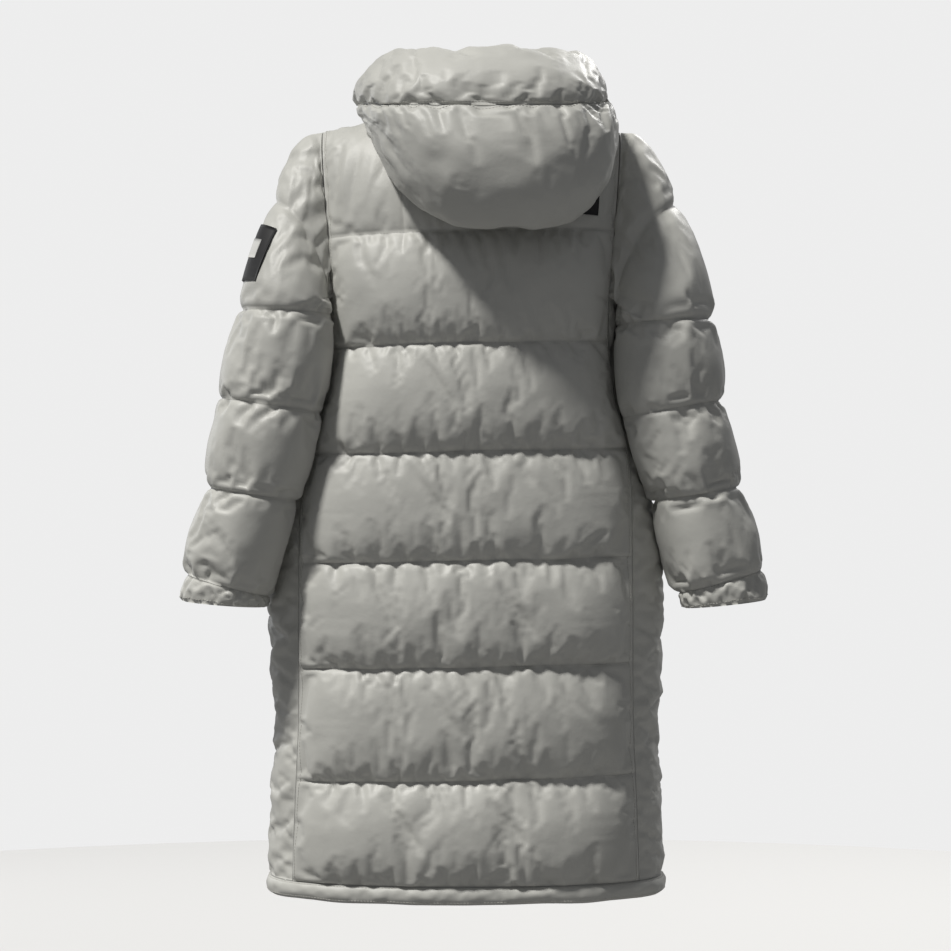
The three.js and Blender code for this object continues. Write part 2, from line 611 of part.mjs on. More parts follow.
/** Neckline of the panels as one row for the hood: inner and outer points. */
function neckline() {
  const shoulder = NECK_COLUMNS;
  const backMiddle = (back.inner[0].length - 1) / 2;
  const centre = vector(0, (NECK_BACK.y + NECK_FRONT.y) / 2, 0);
  const rows = { inner: [], outer: [] };
  for (const layer of ['inner', 'outer']) {
    const left = frontLeft[layer][0].slice(0, shoulder + 1);
    const right = frontRight[layer][0].slice(-shoulder - 1);
    const behind = back[layer][0].slice(backMiddle - shoulder, backMiddle + shoulder + 1).reverse();
    const whole = [...left.slice(0, -1), left[shoulder].clone().lerp(behind[0], 0.5)];
    for (let k = 1; k < behind.length; k += 1) {
      const to = k === behind.length - 1 ? behind[k].clone().lerp(right[0], 0.5) : behind[k];
      whole.push(whole[whole.length - 1].clone().lerp(to, 0.5), to);
    }
    whole.push(...right.slice(1));
    rows[layer] = whole.map((p) => {
      const inwards = centre.clone().sub(p).setZ(0).setLength(NECKLINE_INSET);
      if (Math.abs(p.x) < 2 * ZIP_HALF_GAP && p.y < 0) inwards.x = 0;
      return p.clone().add(inwards);
    });
  }
  return rows;
}

/** The hood's shell in two parts, split at its cross seam, and the dark lining inside. */
function hood() {
  const angles = hoodAngles();
  const neck = neckline();
  const grid = HOOD.map((_, k) => angles.map((a) => hoodPoint(k, a)));
  const inner = [neck.inner, ...grid];
  const seamRow = HOOD_SEAM_ROW + 1;
  const behind = { row: HOOD_SEAM_ROW, column: (angles.length - 1) / 2 };
  const normals = gridNormals(inner, false, behind, vector(0, 1, 0));
  const edge = angles.map((_, c) => edgeFade(c / (angles.length - 1)));
  const outer = moved(inner, normals, (r, c) => (
    mix(EDGE_WALL, HOOD[Math.max(r - 1, 0)].thick, edge[c])));
  outer[0] = neck.outer;
  const lower = { outer: outer.slice(0, seamRow + 1), inner: inner.slice(0, seamRow + 1) };
  const raise = (row) => row.map((p) => p.clone().add(vector(0, 0, SEAM_GAP)));
  const upper = {
    outer: [raise(outer[seamRow]), ...outer.slice(seamRow + 1)],
    inner: [raise(inner[seamRow]), ...inner.slice(seamRow + 1)],
  };
  addMesh('hood_lower', wall(lower.outer, lower.inner), CLOTH);
  addMesh('hood_upper', wall(upper.outer, upper.inner), CLOTH);
  const facing = inner.slice(seamRow + 1 - LINING_FIRST_ROW);
  const facingNormals = normals.slice(seamRow + 1 - LINING_FIRST_ROW);
  const near = moved(facing, facingNormals, () => -SEAM_GAP);
  const far = moved(facing, facingNormals, () => -SEAM_GAP - LINING_WALL);
  addMesh('hood_lining', wall(near, far), DARK_CLOTH);
}

hood();

/** Middle line of the front, from the hem up to the hood's rim, with its outward normals. */
function zipLine() {
  const line = [];
  line.push(bodyPoint(HEM_Z, 0, -1));
  for (const { z } of channelRows().reverse()) {
    line.push(z > UNDERARM_Z ? upperPoint(0, -1, upperLevel(0, -1, z)) : bodyPoint(z, 0, -1));
  }
  for (let k = YOKE_ROWS; k >= 0; k -= 1) {
    line.push(upperPoint(0, -1, mix(1, upperLevel(0, -1, QUILT_Z[0]), k / YOKE_ROWS)));
  }
  for (let row = 0; row < TAPE_TOP_ROW; row += 1) {
    const p = hoodPoint(row, 180);
    line.push(vector(0, p.y, p.z));
  }
  line.forEach((p) => p.setX(body(Math.min(p.z, UNDERARM_Z), 'shiftX')));
  return line.map((p, k) => {
    const along = line[Math.min(k + 1, line.length - 1)].clone().sub(line[Math.max(k - 1, 0)]);
    return { point: p, normal: vector(0, -along.z, along.y).normalize() };
  });
}

/** One zip tape between the middle and a front panel's edge. */
function zipTape(line, hand) {
  const across = [hand * EDGE_INSET, hand * (ZIP_HALF_GAP - SEAM_GAP)];
  const layer = (height) => line.map(({ point, normal }) => across.map((x) => (
    point.clone().addScaledVector(normal, height).add(vector(x, 0, 0)))));
  return wall(layer(TAPE_OUTER), layer(TAPE_INNER));
}

const zip = zipLine();
addMesh('zip_tape_left', zipTape(zip, 1), CLOTH);
addMesh('zip_tape_right', zipTape(zip, -1), CLOTH);

/** Value of a grid of vectors at a row and column, whole or between. */
function between(grid, row, column) {
  const r = Math.floor(row);
  const c = Math.floor(column);
  const at = (i, k) => grid[Math.min(i, grid.length - 1)][k % grid[0].length];
  const along = (i) => at(i, c).clone().lerp(at(i, c + 1), column - c);
  return along(r).lerp(along(r + 1), row - r);
}

/** Patch made from part of a wall's outer points, moved out. */
function patch(outer, normals, { rows, columns, lift }) {
  const layer = (height) => rows.map((r) => columns.map((c) => (
    between(outer, r, c).addScaledVector(between(normals, r, c).normalize(), height))));
  return wall(layer(lift + PATCH_THICKNESS), layer(lift));
}

const sleeveOuter = sleeves.left.top.outer;
const sleeveNormals = gridNormals(sleeveOuter, true, OUTER_SIDE, vector(1, 0, 0));
addMesh('sleeve_patch', patch(sleeveOuter, sleeveNormals, SLEEVE_PATCH), BLACK);

const backNormals = gridNormals(back.outer, false, BACK_MIDDLE, vector(0, 1, 0));
addMesh('yoke_patch', patch(back.outer, backNormals, YOKE_PATCH), BLACK);

const wasm = await Module();
wasm.setup();

/** Solid of a closed three.js geometry for joining and cutting. */
function toSolid(geometry) {
  const plain = new THREE.BufferGeometry();
  plain.setAttribute('position', geometry.getAttribute('position'));
  if (geometry.index) plain.setIndex(geometry.index);
  const merged = mergeVertices(plain, 1e-5);
  return new wasm.Manifold(new wasm.Mesh({
    numProp: 3,
    vertProperties: new Float32Array(merged.getAttribute('position').array),
    triVerts: new Uint32Array(merged.index.array),
  }));
}

function toGeometry(solid) {
  const mesh = solid.getMesh();
  const geometry = new THREE.BufferGeometry();
  geometry.setAttribute('position', new THREE.BufferAttribute(mesh.vertProperties, 3));
  geometry.setIndex(new THREE.BufferAttribute(mesh.triVerts, 1));
  return geometry;
}

/** Slider on the closed zip, with an arch that holds the pull's bar. */
function slider(face) {
  const { width, depth, height, archWidth, archReach } = SLIDER;
  const plate = new THREE.BoxGeometry(width, depth, height).translate(0, face - depth / 2, SLIDER.z);
  const arch = new THREE.Shape();
  arch.moveTo(ARCH.root, -ARCH.rootHalf);
  arch.lineTo(ARCH.root, ARCH.rootHalf);
  arch.lineTo(-archReach, ARCH.topHalf);
  arch.lineTo(-archReach, -ARCH.topHalf);
  arch.closePath();
  const opening = new THREE.Path();
  opening.moveTo(0, ARCH.windowLow);
  opening.lineTo(ARCH.wall - archReach, ARCH.windowLow);
  opening.lineTo(ARCH.wall - archReach, ARCH.windowHigh);
  opening.lineTo(0, ARCH.windowHigh);
  opening.closePath();
  arch.holes.push(opening);
  const bridge = new THREE.ExtrudeGeometry(arch, { depth: archWidth, bevelEnabled: false });
  bridge.translate(0, 0, -archWidth / 2);
  bridge.applyMatrix4(new THREE.Matrix4().makeBasis(
    vector(0, 1, 0),
    vector(0, 0, 1),
    vector(1, 0, 0),
  ));
  bridge.translate(0, face - depth, SLIDER.z);
  return toGeometry(toSolid(plate).add(toSolid(bridge)));
}

/** Pull tab that hangs from the slider's arch by the bar above its eye. */
function pull(face) {
  const { width, length, thickness, eyeWidth, eyeLength, bar, tip } = PULL;
  const outline = new THREE.Shape();
  outline.moveTo(-width / 2, bar / 2);
  outline.lineTo(-width / 2, -length + tip);
  outline.quadraticCurveTo(-width / 2, -length, 0, -length);
  outline.quadraticCurveTo(width / 2, -length, width / 2, -length + tip);
  outline.lineTo(width / 2, bar / 2);
  outline.closePath();
  const eye = new THREE.Path();
  eye.moveTo(-eyeWidth / 2, -bar / 2);
  eye.lineTo(eyeWidth / 2, -bar / 2);
  eye.lineTo(eyeWidth / 2, -bar / 2 - eyeLength);
  eye.lineTo(-eyeWidth / 2, -bar / 2 - eyeLength);
  eye.closePath();
  outline.holes.push(eye);
  const tab = new THREE.ExtrudeGeometry(outline, {
    depth: thickness,
    bevelEnabled: false,
    curveSegments: 4,
  });
  tab.translate(0, 0, -thickness / 2);
  tab.rotateX(Math.PI / 2);
  const middle = (SLIDER.archReach - ARCH.wall) / 2;
  return tab.translate(0, face - SLIDER.depth - middle, SLIDER.z + ARCH.windowLow + SEAM_GAP + bar / 2);
}

/** Front of the zip tapes at a height. */
function tapeFace(z) {
  const face = zip.map(({ point, normal }) => point.clone().addScaledVector(normal, TAPE_OUTER));
  const above = face.findIndex((p) => p.z >= z);
  const from = face[above - 1];
  return mix(from.y, face[above].y, (z - from.z) / (face[above].z - from.z));
}

const sliderSpan = [-SLIDER.height / 2, 0, SLIDER.height / 2].map((h) => tapeFace(SLIDER.z + h));
const sliderFace = Math.min(...sliderSpan) - SEAM_GAP;
addMesh('zip_slider', slider(sliderFace), METAL, 0.35, 1);
addMesh('zip_pull', pull(sliderFace), METAL, 0.35, 1);

export default coat;
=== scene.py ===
# Long puffer coat, filled out with nobody in it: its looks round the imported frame
# The tables are in millimetres, and MM turns them into Blender's metres.
# +Z up, +Y behind the wearer, +X to the wearer's left, origin at the base of the neck.
import math

import bpy
import numpy as np
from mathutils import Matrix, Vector


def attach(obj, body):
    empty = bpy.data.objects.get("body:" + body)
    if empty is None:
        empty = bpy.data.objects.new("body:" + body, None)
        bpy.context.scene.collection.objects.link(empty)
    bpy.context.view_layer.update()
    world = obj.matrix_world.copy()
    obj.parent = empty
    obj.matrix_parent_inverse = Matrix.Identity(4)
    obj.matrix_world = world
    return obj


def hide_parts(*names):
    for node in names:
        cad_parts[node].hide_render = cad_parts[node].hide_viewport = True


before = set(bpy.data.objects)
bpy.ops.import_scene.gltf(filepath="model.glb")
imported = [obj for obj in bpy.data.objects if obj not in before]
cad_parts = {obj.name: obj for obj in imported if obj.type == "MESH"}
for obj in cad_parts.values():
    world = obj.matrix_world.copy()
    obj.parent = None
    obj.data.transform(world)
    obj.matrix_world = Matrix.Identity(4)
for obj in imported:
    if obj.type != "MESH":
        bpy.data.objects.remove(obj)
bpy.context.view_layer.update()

MM = 0.001


def table(names, rows):
    """Named columns of a table as arrays."""
    return dict(zip(names.split(), np.array(rows, float).T))


# Levels of the body, from the origin down
UNDERARM_Z = -245
HEM_SEAM_Z = -1056
HEM_Z = -1080
QUILT_Z = (-157, -312, -461, -611, -757, -912, HEM_SEAM_Z)

# Half-breadths of the body's rings, and where the back and fronts meet the sides
BODY = table("z half_width half_depth seam_x shift_x", [
    (-245, 204, 128, 188, 0),
    (-320, 200, 130, 189, 1),
    (-390, 209, 130, 199, 2),
    (-460, 231, 130, 219, 4),
    (-520, 249, 130, 226, 6),
    (-590, 266, 131, 228, 7),
    (-680, 270, 132, 229, 7),
    (-770, 266, 132, 229, 7),
    (-850, 260.5, 132, 230, 7),
    (-920, 265, 133, 233, 7),
    (-1000, 268, 135, 236, 7),
    (-1080, 271.5, 135, 238, 7),
])
BODY_ROUNDNESS = 2.4

# Neckline and shoulder line
NECK_HALF_WIDTH = 90
NECK_SHARE = 0.46
NECK_SIDE = {"y": 8, "z": 12}
NECK_BACK = {"y": 72, "z": 8, "turn": 65}
NECK_FRONT = {"y": -72, "z": -48, "turn": 62}
SHOULDER_TIP = (209, 4, -12)
SHOULDER_TURN = 82

# Thickness of the padded cloth
EDGE_WALL = 5
QUILT_WALL = 3.5
LEAST_WALL = 2.5
SETTLED_WALL = 2.2
BODY_CREST = 22
YOKE_CREST = 15
SIDE_WALL = 8
HEM_CREST = 12
SLEEVE_CREST = 14
CUFF_FULLNESS = 0.35
CUFF_HEIGHT = 36
LINING_WALL = 1.2
SEAM_GAP = 0.3
EDGE_INSET = 0.25
NECKLINE_INSET = 0.45

# Sleeve seams seen from behind, from below the shoulder to the cuff's edge
SLEEVES = {
    "left": table("outer_x outer_z inner_x inner_z y half_depth", [
        (317, -264, 190, -270, 62, 70),
        (346, -386, 206, -407, 68, 72),
        (361, -511, 238, -528, 72, 64),
        (393, -631, 284, -661, 66, 56),
        (402, -668, 288, -676, 64, 57),
    ]),
    "right": table("outer_x outer_z inner_x inner_z y half_depth", [
        (332, -275, 206, -284, 46, 70),
        (346, -389, 210, -414, 50, 72),
        (371, -510, 258, -528, 50, 64),
        (405, -626, 293, -657, 50, 56),
        (412, -667, 300, -678, 50, 57),
    ]),
}
HANDS = {"left": 1, "right": -1}
SLEEVE_GIRTH = 400
CAP_CHANNELS = (80, 90)
ARMHOLE_MIDDLE_Z = -195.75
CAP_SEAM_OUTER = 0.5
CAP_SEAM_UNDER = 0.27
CAP_SEAM_POWER = 1.5
CAP_WIDE = 110
CAP_LEAVES = np.array([1, 0, -0.35])
CAP_FULLNESS = 0.5
CAP_LEAST_PULL = 45
UNDERARM_ANGLE = 125
SLEEVE_CLEARANCE = 3
SLEEVE_LEAST_WALL = 4
SLEEVE_FREE_Z = -215
SIDE_REACH_Y = 55
SIDE_REACH_BLEND = 40
JOIN_ROWS = 6
FREE_ROWS = 24

# Hood rows, from above the neckline over the fold, down the pouch and up to the rim
HOOD = table("w y_side z_side y_back z_back y_front z_front x thick", [
    (90, 4, 42, 74, 36, -74, -14, 0, 5),
    (110, 6, 54, 108, 48, -82, 6, -4, 6),
    (130, 10, 46, 152, 6, -90, 16, -14, 6),
    (142, 14, 36, 168, -80, -96, 24, -30, 6),
    (152, 18, 29, 178, -136, -99, 32, -44, 7),
    (158, 20, 26, 196, -156, -101, 39, -52, 10),
    (162, 22, 26, 220, -118, -102, 46, -52, 13),
    (164, 22, 27, 229, -55, -102, 54, -44, 13),
    (165, 22, 30, 215, 1, -102, 62, -30, 13),
    (160, 20, 50, 197, 42, -100, 88, -28, 13),
    (145, 14, 68, 150, 80, -92, 112, -24, 12),
    (131, 12, 68, 122, 74, -83, 112, -24, 5),
])
HOOD_SQUARENESS = 0.75
HOOD_DROP = 0.85
HOOD_SEAM_ROW = 8
HOOD_ROW_LENGTH = 55
HOOD_ROW_STEPS = 24
HOOD_GIRTH = 1140
HOOD_ZIP_COLUMNS = 6
LINING_FIRST_ROW = 2

# Zip down the front
ZIP_HALF_GAP = 10
ZIP_SHARE = ZIP_HALF_GAP / 188
TAPE_INNER = 1
TAPE_OUTER = 3
TAPE_TOP_ROW = 11
TOOTH_PITCH = 1.7
TOOTH_SIZE = (3.6, 1.1, 1.4)
TOOTH_LIFT = 0.5
TOOTH_REACH = 1.1

# Stitches: across, along and proud of the seam, their spacing and their lift
STITCH_SIZE = (0.7, 3.4, 0.6)
STITCH_PITCH = 4.6
STITCH_LIFT = 0.25

# Back and fronts: their side, their shares of the body's breadth, and their random seeds
PANELS = (
    ("back", 1, (-1, 1), 11),
    ("front_left", -1, (ZIP_SHARE, 1), 411),
    ("front_right", -1, (-1, -ZIP_SHARE), 811),
)

# Patches, and the pale bar on the sleeve's one, as shares of its length and breadth
PATCH_THICKNESS = 1.2
PATCH_LIFT = 0.3
BAR_THICKNESS = 0.5
BAR = {"rows": (0.25, 0.7), "columns": (0.55, 0.86)}

# Long soft creases, listed one by one: from and to in X and Z, half-width, and depth (negative for a ridge)
CREASES = {
    "back": table("x z to_x to_z width depth", [
        (176, -34, 184, -132, 5, 3.2),
        (162, -40, 174, -118, 6, -2.6),
        (146, -44, 168, -140, 5, 2.8),
        (128, -52, 150, -128, 6, -1.8),
        (112, -48, 126, -96, 5, 1.6),
        (-168, -40, -180, -142, 5, 2.8),
        (-154, -36, -160, -84, 6, -2.0),
        (150, -172, 118, -236, 7, 2.2),
        (64, -330, 22, -402, 8, 2.4),
        (88, -476, 30, -560, 8, 2.6),
        (-60, -482, -118, -540, 7, 2.0),
        (140, -628, 96, -704, 8, 2.2),
        (-34, -640, -96, -716, 8, 2.4),
        (60, -780, 4, -856, 8, 2.6),
        (-120, -776, -168, -842, 7, 2.0),
        (120, -930, 66, -1010, 8, 2.4),
        (-20, -938, -74, -1000, 8, 2.0),
    ]),
    "front": table("x z to_x to_z width depth", [
        (168, -40, 180, -128, 5, 3.0),
        (150, -46, 164, -132, 6, -2.2),
        (-160, -38, -176, -136, 5, 2.8),
        (-140, -50, -150, -110, 6, -2.0),
        (120, -190, 76, -262, 7, 2.2),
        (-92, -340, -140, -420, 8, 2.4),
        (146, -500, 92, -572, 8, 2.4),
        (-60, -640, -118, -716, 8, 2.2),
        (110, -786, 60, -866, 8, 2.4),
        (-130, -940, -178, -1014, 8, 2.2),
    ]),
    "hood": table("x z to_x to_z width depth", [
        (122, -10, 88, -92, 4, 2.6),
        (112, -18, 74, -104, 4, -2.2),
        (100, 4, 66, -78, 5, 2.0),
        (84, -30, 44, -128, 5, -1.8),
        (60, 24, 30, -40, 6, 1.8),
        (-150, -24, -140, -104, 6, 2.0),
        (-110, 20, -128, -40, 6, 1.6),
        (-20, 26, -44, -30, 7, 1.6),
        (118, 82, 70, 58, 5, 2.0),
        (40, 88, -10, 62, 6, 2.2),
        (-60, 90, -110, 66, 6, 2.0),
    ]),
}

# Fineness of the meshes, the breadths and points that it is counted from, and the noise's lattice
PANEL_STEP = 3.0
SLEEVE_STEP = 3.0
SIDE_STEP = 3.2
HOOD_STEP = 3.6
INNER_STRIDE = 3
PANEL_HALF_BREADTH = 215
SIDE_BREADTH = 150
CHANNEL_ARC = 1.08
HEM_POINTS = {"front": 76, "back": 145, "side": 61}
HEM_ROWS = 12
LATTICE = 128

# Cloth simulation: how much larger the cloth is cut than its seams, and how it is pressed out
SIM_GROWTH = {"panel": 0.06, "side": 0.045, "sleeve": 0.13, "hood": 0.05}
SIM_PRESSURE = {"panel": 4, "side": 2, "sleeve": 4, "hood": 1.5}
SIM_FRAMES = 16
SIM_CAP = 11
CLOTH_RULES = {"quality": 5, "mass": 0.15, "tension_stiffness": 12, "compression_stiffness": 8,
               "shear_stiffness": 4, "bending_stiffness": 0.12, "use_pressure": True}
MIDDLE_CALM = 0.45
CAP_CALM = 0.4
HOOD_CALM = 0.8

# Camera: behind the wearer, level with the middle of the coat
CAMERA_PLACE = (-0.0064, 3.74, -0.4935)
FRAME_WIDTH = 1.350
FLOOR_Z = -1.42
FLOOR_RADIUS = 3.0
FLOOR_SIDES = 96

# Light: where the key comes from, and what the camera and the other rays see of the surroundings
KEY_FROM = (0.5, 0.36, 1)
FLOOR_SEEN = (0.6, 0.6, 0.6)
FLOOR_BOUNCE = (0.22, 0.22, 0.22)
SKY_SEEN = (0.85, 0.85, 0.85)
SKY_LIGHT = (0.15, 0.153, 0.16)


def mix(a, b, t):
    """Straight mix of a and b."""
    return a + (b - a) * t


def ease(t):
    """Smooth step from 0 to 1, flat at both ends."""
    t = np.clip(t, 0, 1)
    return t * t * (3 - 2 * t)


def hermite(start, leave, end, arrive, t):
    """Cubic between two values with given slopes at its ends."""
    t2, t3 = t * t, t * t * t
    return ((2 * t3 - 3 * t2 + 1) * start + (t3 - 2 * t2 + t) * leave
            + (3 * t2 - 2 * t3) * end + (t3 - t2) * arrive)


def smooth(keys, values, at):
    """Cubic through a column's values, its slopes taken from the neighbouring rows."""
    keys, values = np.asarray(keys, float), np.asarray(values, float)
    if keys[0] > keys[-1]:
        keys, values = keys[::-1], values[::-1]
    slope = np.empty_like(values)
    slope[1:-1] = (values[2:] - values[:-2]) / (keys[2:] - keys[:-2])
    slope[0] = (values[1] - values[0]) / (keys[1] - keys[0])
    slope[-1] = (values[-1] - values[-2]) / (keys[-1] - keys[-2])
    at = np.clip(at, keys[0], keys[-1])
    k = np.clip(np.searchsorted(keys, at, side="right") - 1, 0, len(keys) - 2)
    step = keys[k + 1] - keys[k]
    t = (at - keys[k]) / step
    return hermite(values[k], slope[k] * step, values[k + 1], slope[k + 1] * step, t)


def noise(x, y, size, seed):
    """Smooth noise from -1 to 1: random values on a lattice, joined by eased mixing."""
    lattice = np.random.default_rng(seed).uniform(-1, 1, (LATTICE, LATTICE))
    x, y = np.broadcast_arrays(np.asarray(x, float) / size, np.asarray(y, float) / size)
    i, j = np.floor(x).astype(int), np.floor(y).astype(int)
    u, v = ease(x - i), ease(y - j)
    at = lambda a, b: lattice[(i + a) % LATTICE, (j + b) % LATTICE]
    return mix(mix(at(0, 0), at(1, 0), u), mix(at(0, 1), at(1, 1), u), v)


def swell(t):
    """Section of a channel, from the distance d to its middle: one less d^2.4, to the power 0.7."""
    return np.maximum(0, 1 - np.abs(2 * t - 1) ** 2.4) ** 0.7


def edge_fade(t):
    """Fading towards a panel's side edges: the square root of one less the distance's 8th power."""
    return np.maximum(0, 1 - np.abs(2 * t - 1) ** 8) ** 0.5


def points(x, y, z):
    """Array of points from three arrays of coordinates."""
    return np.stack(np.broadcast_arrays(x, y, z), axis=-1).astype(float)


def unit(v):
    """Vectors divided by their lengths."""
    return v / np.maximum(np.linalg.norm(v, axis=-1, keepdims=True), 1e-9)


def body(z, name):
    """Column of the body's table at a height, on the cubic through its values."""
    return smooth(BODY["z"], BODY[name], z)


def body_point(z, x, side):
    """Superellipse ring: y = half depth times (1 - |x / half width|^n)^(1 / n)."""
    reach = np.minimum(1, np.abs(x) / body(z, "half_width"))
    y = side * body(z, "half_depth") * (1 - reach ** BODY_ROUNDNESS) ** (1 / BODY_ROUNDNESS)
    return points(x + body(z, "shift_x"), y, z)


def side_point(z, t, hand):
    """The same ring by its angle, back seam at t 0 to front seam at t 1: sine and cosine to 2 / n."""
    wide = body(z, "half_width")
    seam = np.arcsin((body(z, "seam_x") / wide) ** (BODY_ROUNDNESS / 2))
    angle = seam + (np.pi - 2 * seam) * t
    power = 2 / BODY_ROUNDNESS
    y = body(z, "half_depth") * np.sign(np.cos(angle)) * np.abs(np.cos(angle)) ** power
    return points(hand * wide * np.sin(angle) ** power + body(z, "shift_x"), y, z)


def body_measure(p):
    """How far out a point is against its body ring: 1 on the ring."""
    x = np.abs(p[..., 0] - body(p[..., 2], "shift_x")) / body(p[..., 2], "half_width")
    y = np.abs(p[..., 1]) / body(p[..., 2], "half_depth")
    return (x ** BODY_ROUNDNESS + y ** BODY_ROUNDNESS) ** (1 / BODY_ROUNDNESS)


def body_gradient(p):
    """Steepest way out of the body, from differences along X, Y and Z."""
    steps = 0.5 * np.eye(3)
    return np.stack([body_measure(p + h) - body_measure(p - h) for h in steps], axis=-1)


def top_edge(s, side):
    """Neckline near the middle, then the shoulder seam out to the armhole."""
    middle = NECK_BACK if side > 0 else NECK_FRONT
    share = np.abs(s) / NECK_SHARE
    arc = np.sqrt(np.maximum(0, 1 - np.minimum(share, 1) ** 2))
    t = np.clip((np.abs(s) - NECK_SHARE) / (1 - NECK_SHARE), 0, 1)
    on_neck = share <= 1
    x = np.where(on_neck, NECK_HALF_WIDTH * share, mix(NECK_HALF_WIDTH, SHOULDER_TIP[0], t))
    y = np.where(on_neck, mix(NECK_SIDE["y"], middle["y"], arc), mix(NECK_SIDE["y"], SHOULDER_TIP[1], t))
    z = np.where(on_neck, mix(NECK_SIDE["z"], middle["z"], arc), mix(NECK_SIDE["z"], SHOULDER_TIP[2], t))
    return points(np.sign(s) * x, y + side * SEAM_GAP / 2, z)


def turn_of(s, side):
    """Angle that the upper panel's arc turns through, mixed from its middle to the shoulder."""
    middle = (NECK_BACK if side > 0 else NECK_FRONT)["turn"]
    return np.radians(mix(middle, SHOULDER_TURN, np.minimum(1, np.abs(s) / NECK_SHARE)))


def upper_point(s, side, level):
    """Upper back or front: a circle's arc, scaled from the underarm's ring to the top edge."""
    low = body_point(UNDERARM_Z, s * body(UNDERARM_Z, "seam_x"), side)
    top = top_edge(s, side)
    turn = turn_of(s, side)
    rise = np.sin(level * turn) / np.sin(turn)
    lean = (np.cos(level * turn) - np.cos(turn)) / (1 - np.cos(turn))
    return points(
        mix(low[..., 0], top[..., 0], rise),
        mix(top[..., 1], low[..., 1], lean),
        mix(low[..., 2], top[..., 2], rise),
    )


def upper_level(s, side, z):
    """Level at which the upper panel passes a height."""
    share = (z - UNDERARM_Z) / (top_edge(s, side)[..., 2] - UNDERARM_Z)
    turn = turn_of(s, side)
    return np.arcsin(np.clip(np.sin(turn) * share, 0, 1)) / turn


def normals_of(grid, around=False, way=None):
    """Normals of a grid of points from the cross product of its two directions."""
    if around:
        across = np.roll(grid, -1, axis=1) - np.roll(grid, 1, axis=1)
    else:
        across = np.gradient(grid, axis=1)
    down = np.gradient(grid, axis=0)
    normal = unit(np.cross(across, down))
    r, c = grid.shape[0] // 2, 0 if around else grid.shape[1] // 2
    return normal if way is None or normal[r, c] @ np.asarray(way, float) > 0 else -normal


def backward_normals(grid, row):
    """Normals of a grid that runs round the coat, turned to point out at the middle of its back."""
    normal = normals_of(grid)
    return normal if normal[row, grid.shape[1] // 2, 1] > 0 else -normal


def pins(grid, rows, edges=True):
    """Pinned points of a grid: whole rows, and the two side edges."""
    pinned = np.zeros(grid.shape[:2], bool)
    pinned[rows] = True
    if edges:
        pinned[:, [0, -1]] = True
    return pinned


def lengths(grid, axis):
    """Distance run along a grid's rows or columns, from its first point."""
    step = np.linalg.norm(np.diff(grid, axis=axis), axis=-1)
    run = np.cumsum(step, axis=axis)
    start = np.zeros_like(np.take(run, [0], axis=axis))
    return np.concatenate([start, run], axis=axis)


def add_mesh(name, verts, quads, tris=None, materials=(), quad_slots=None):
    """Mesh object from whole arrays of millimetre points and faces."""
    mesh = bpy.data.meshes.new(name)
    tris = np.zeros((0, 3), int) if tris is None else tris
    corners = np.concatenate([quads.ravel(), tris.ravel()]).astype(np.int32)
    starts = np.concatenate([np.arange(len(quads)) * 4, len(quads) * 4 + np.arange(len(tris)) * 3])
    mesh.vertices.add(len(verts))
    mesh.vertices.foreach_set("co", (np.asarray(verts) * MM).astype(np.float32).ravel())
    mesh.loops.add(len(corners))
    mesh.loops.foreach_set("vertex_index", corners)
    mesh.polygons.add(len(starts))
    mesh.polygons.foreach_set("loop_start", starts.astype(np.int32))
    mesh.polygons.foreach_set("use_smooth", np.ones(len(starts), bool))
    for material in materials:
        mesh.materials.append(material)
    if quad_slots is not None:
        slots = np.concatenate([quad_slots, np.zeros(len(tris), int)])
        mesh.polygons.foreach_set("material_index", slots.astype(np.int32))
    mesh.update(calc_edges=True)
    mesh.validate()
    piece = bpy.data.objects.new(name, mesh)
    bpy.context.scene.collection.objects.link(piece)
    return piece


def grid_quads(rows, columns, start=0, around=False):
    """Quads between neighbouring rows and columns of a grid."""
    r, c = np.meshgrid(np.arange(rows - 1), np.arange(columns if around else columns - 1), indexing="ij")
    n = (c + 1) % columns
    return start + np.stack([r * columns + c, (r + 1) * columns + c, (r + 1) * columns + n, r * columns + n],
                            axis=-1).reshape(-1, 4)


def rim(fine, coarse):
    """Triangles between a fine border and a coarse one that has every n-th of its points."""
    stride = (len(fine) - 1) // (len(coarse) - 1)
    left = np.repeat(coarse[:-1], stride)
    fans = np.stack([fine[:-1], fine[1:], left], axis=-1)
    closing = np.stack([fine[stride::stride], coarse[1:], coarse[:-1]], axis=-1)
    return np.concatenate([fans, closing])


def signed_volume(verts, tris):
    """Six times the volume inside triangles: the sum of a times the cross product of b and c."""
    a, b, c = (verts[tris[:, k]] for k in range(3))
    return np.einsum("ij,ij->i", a, np.cross(b, c)).sum()


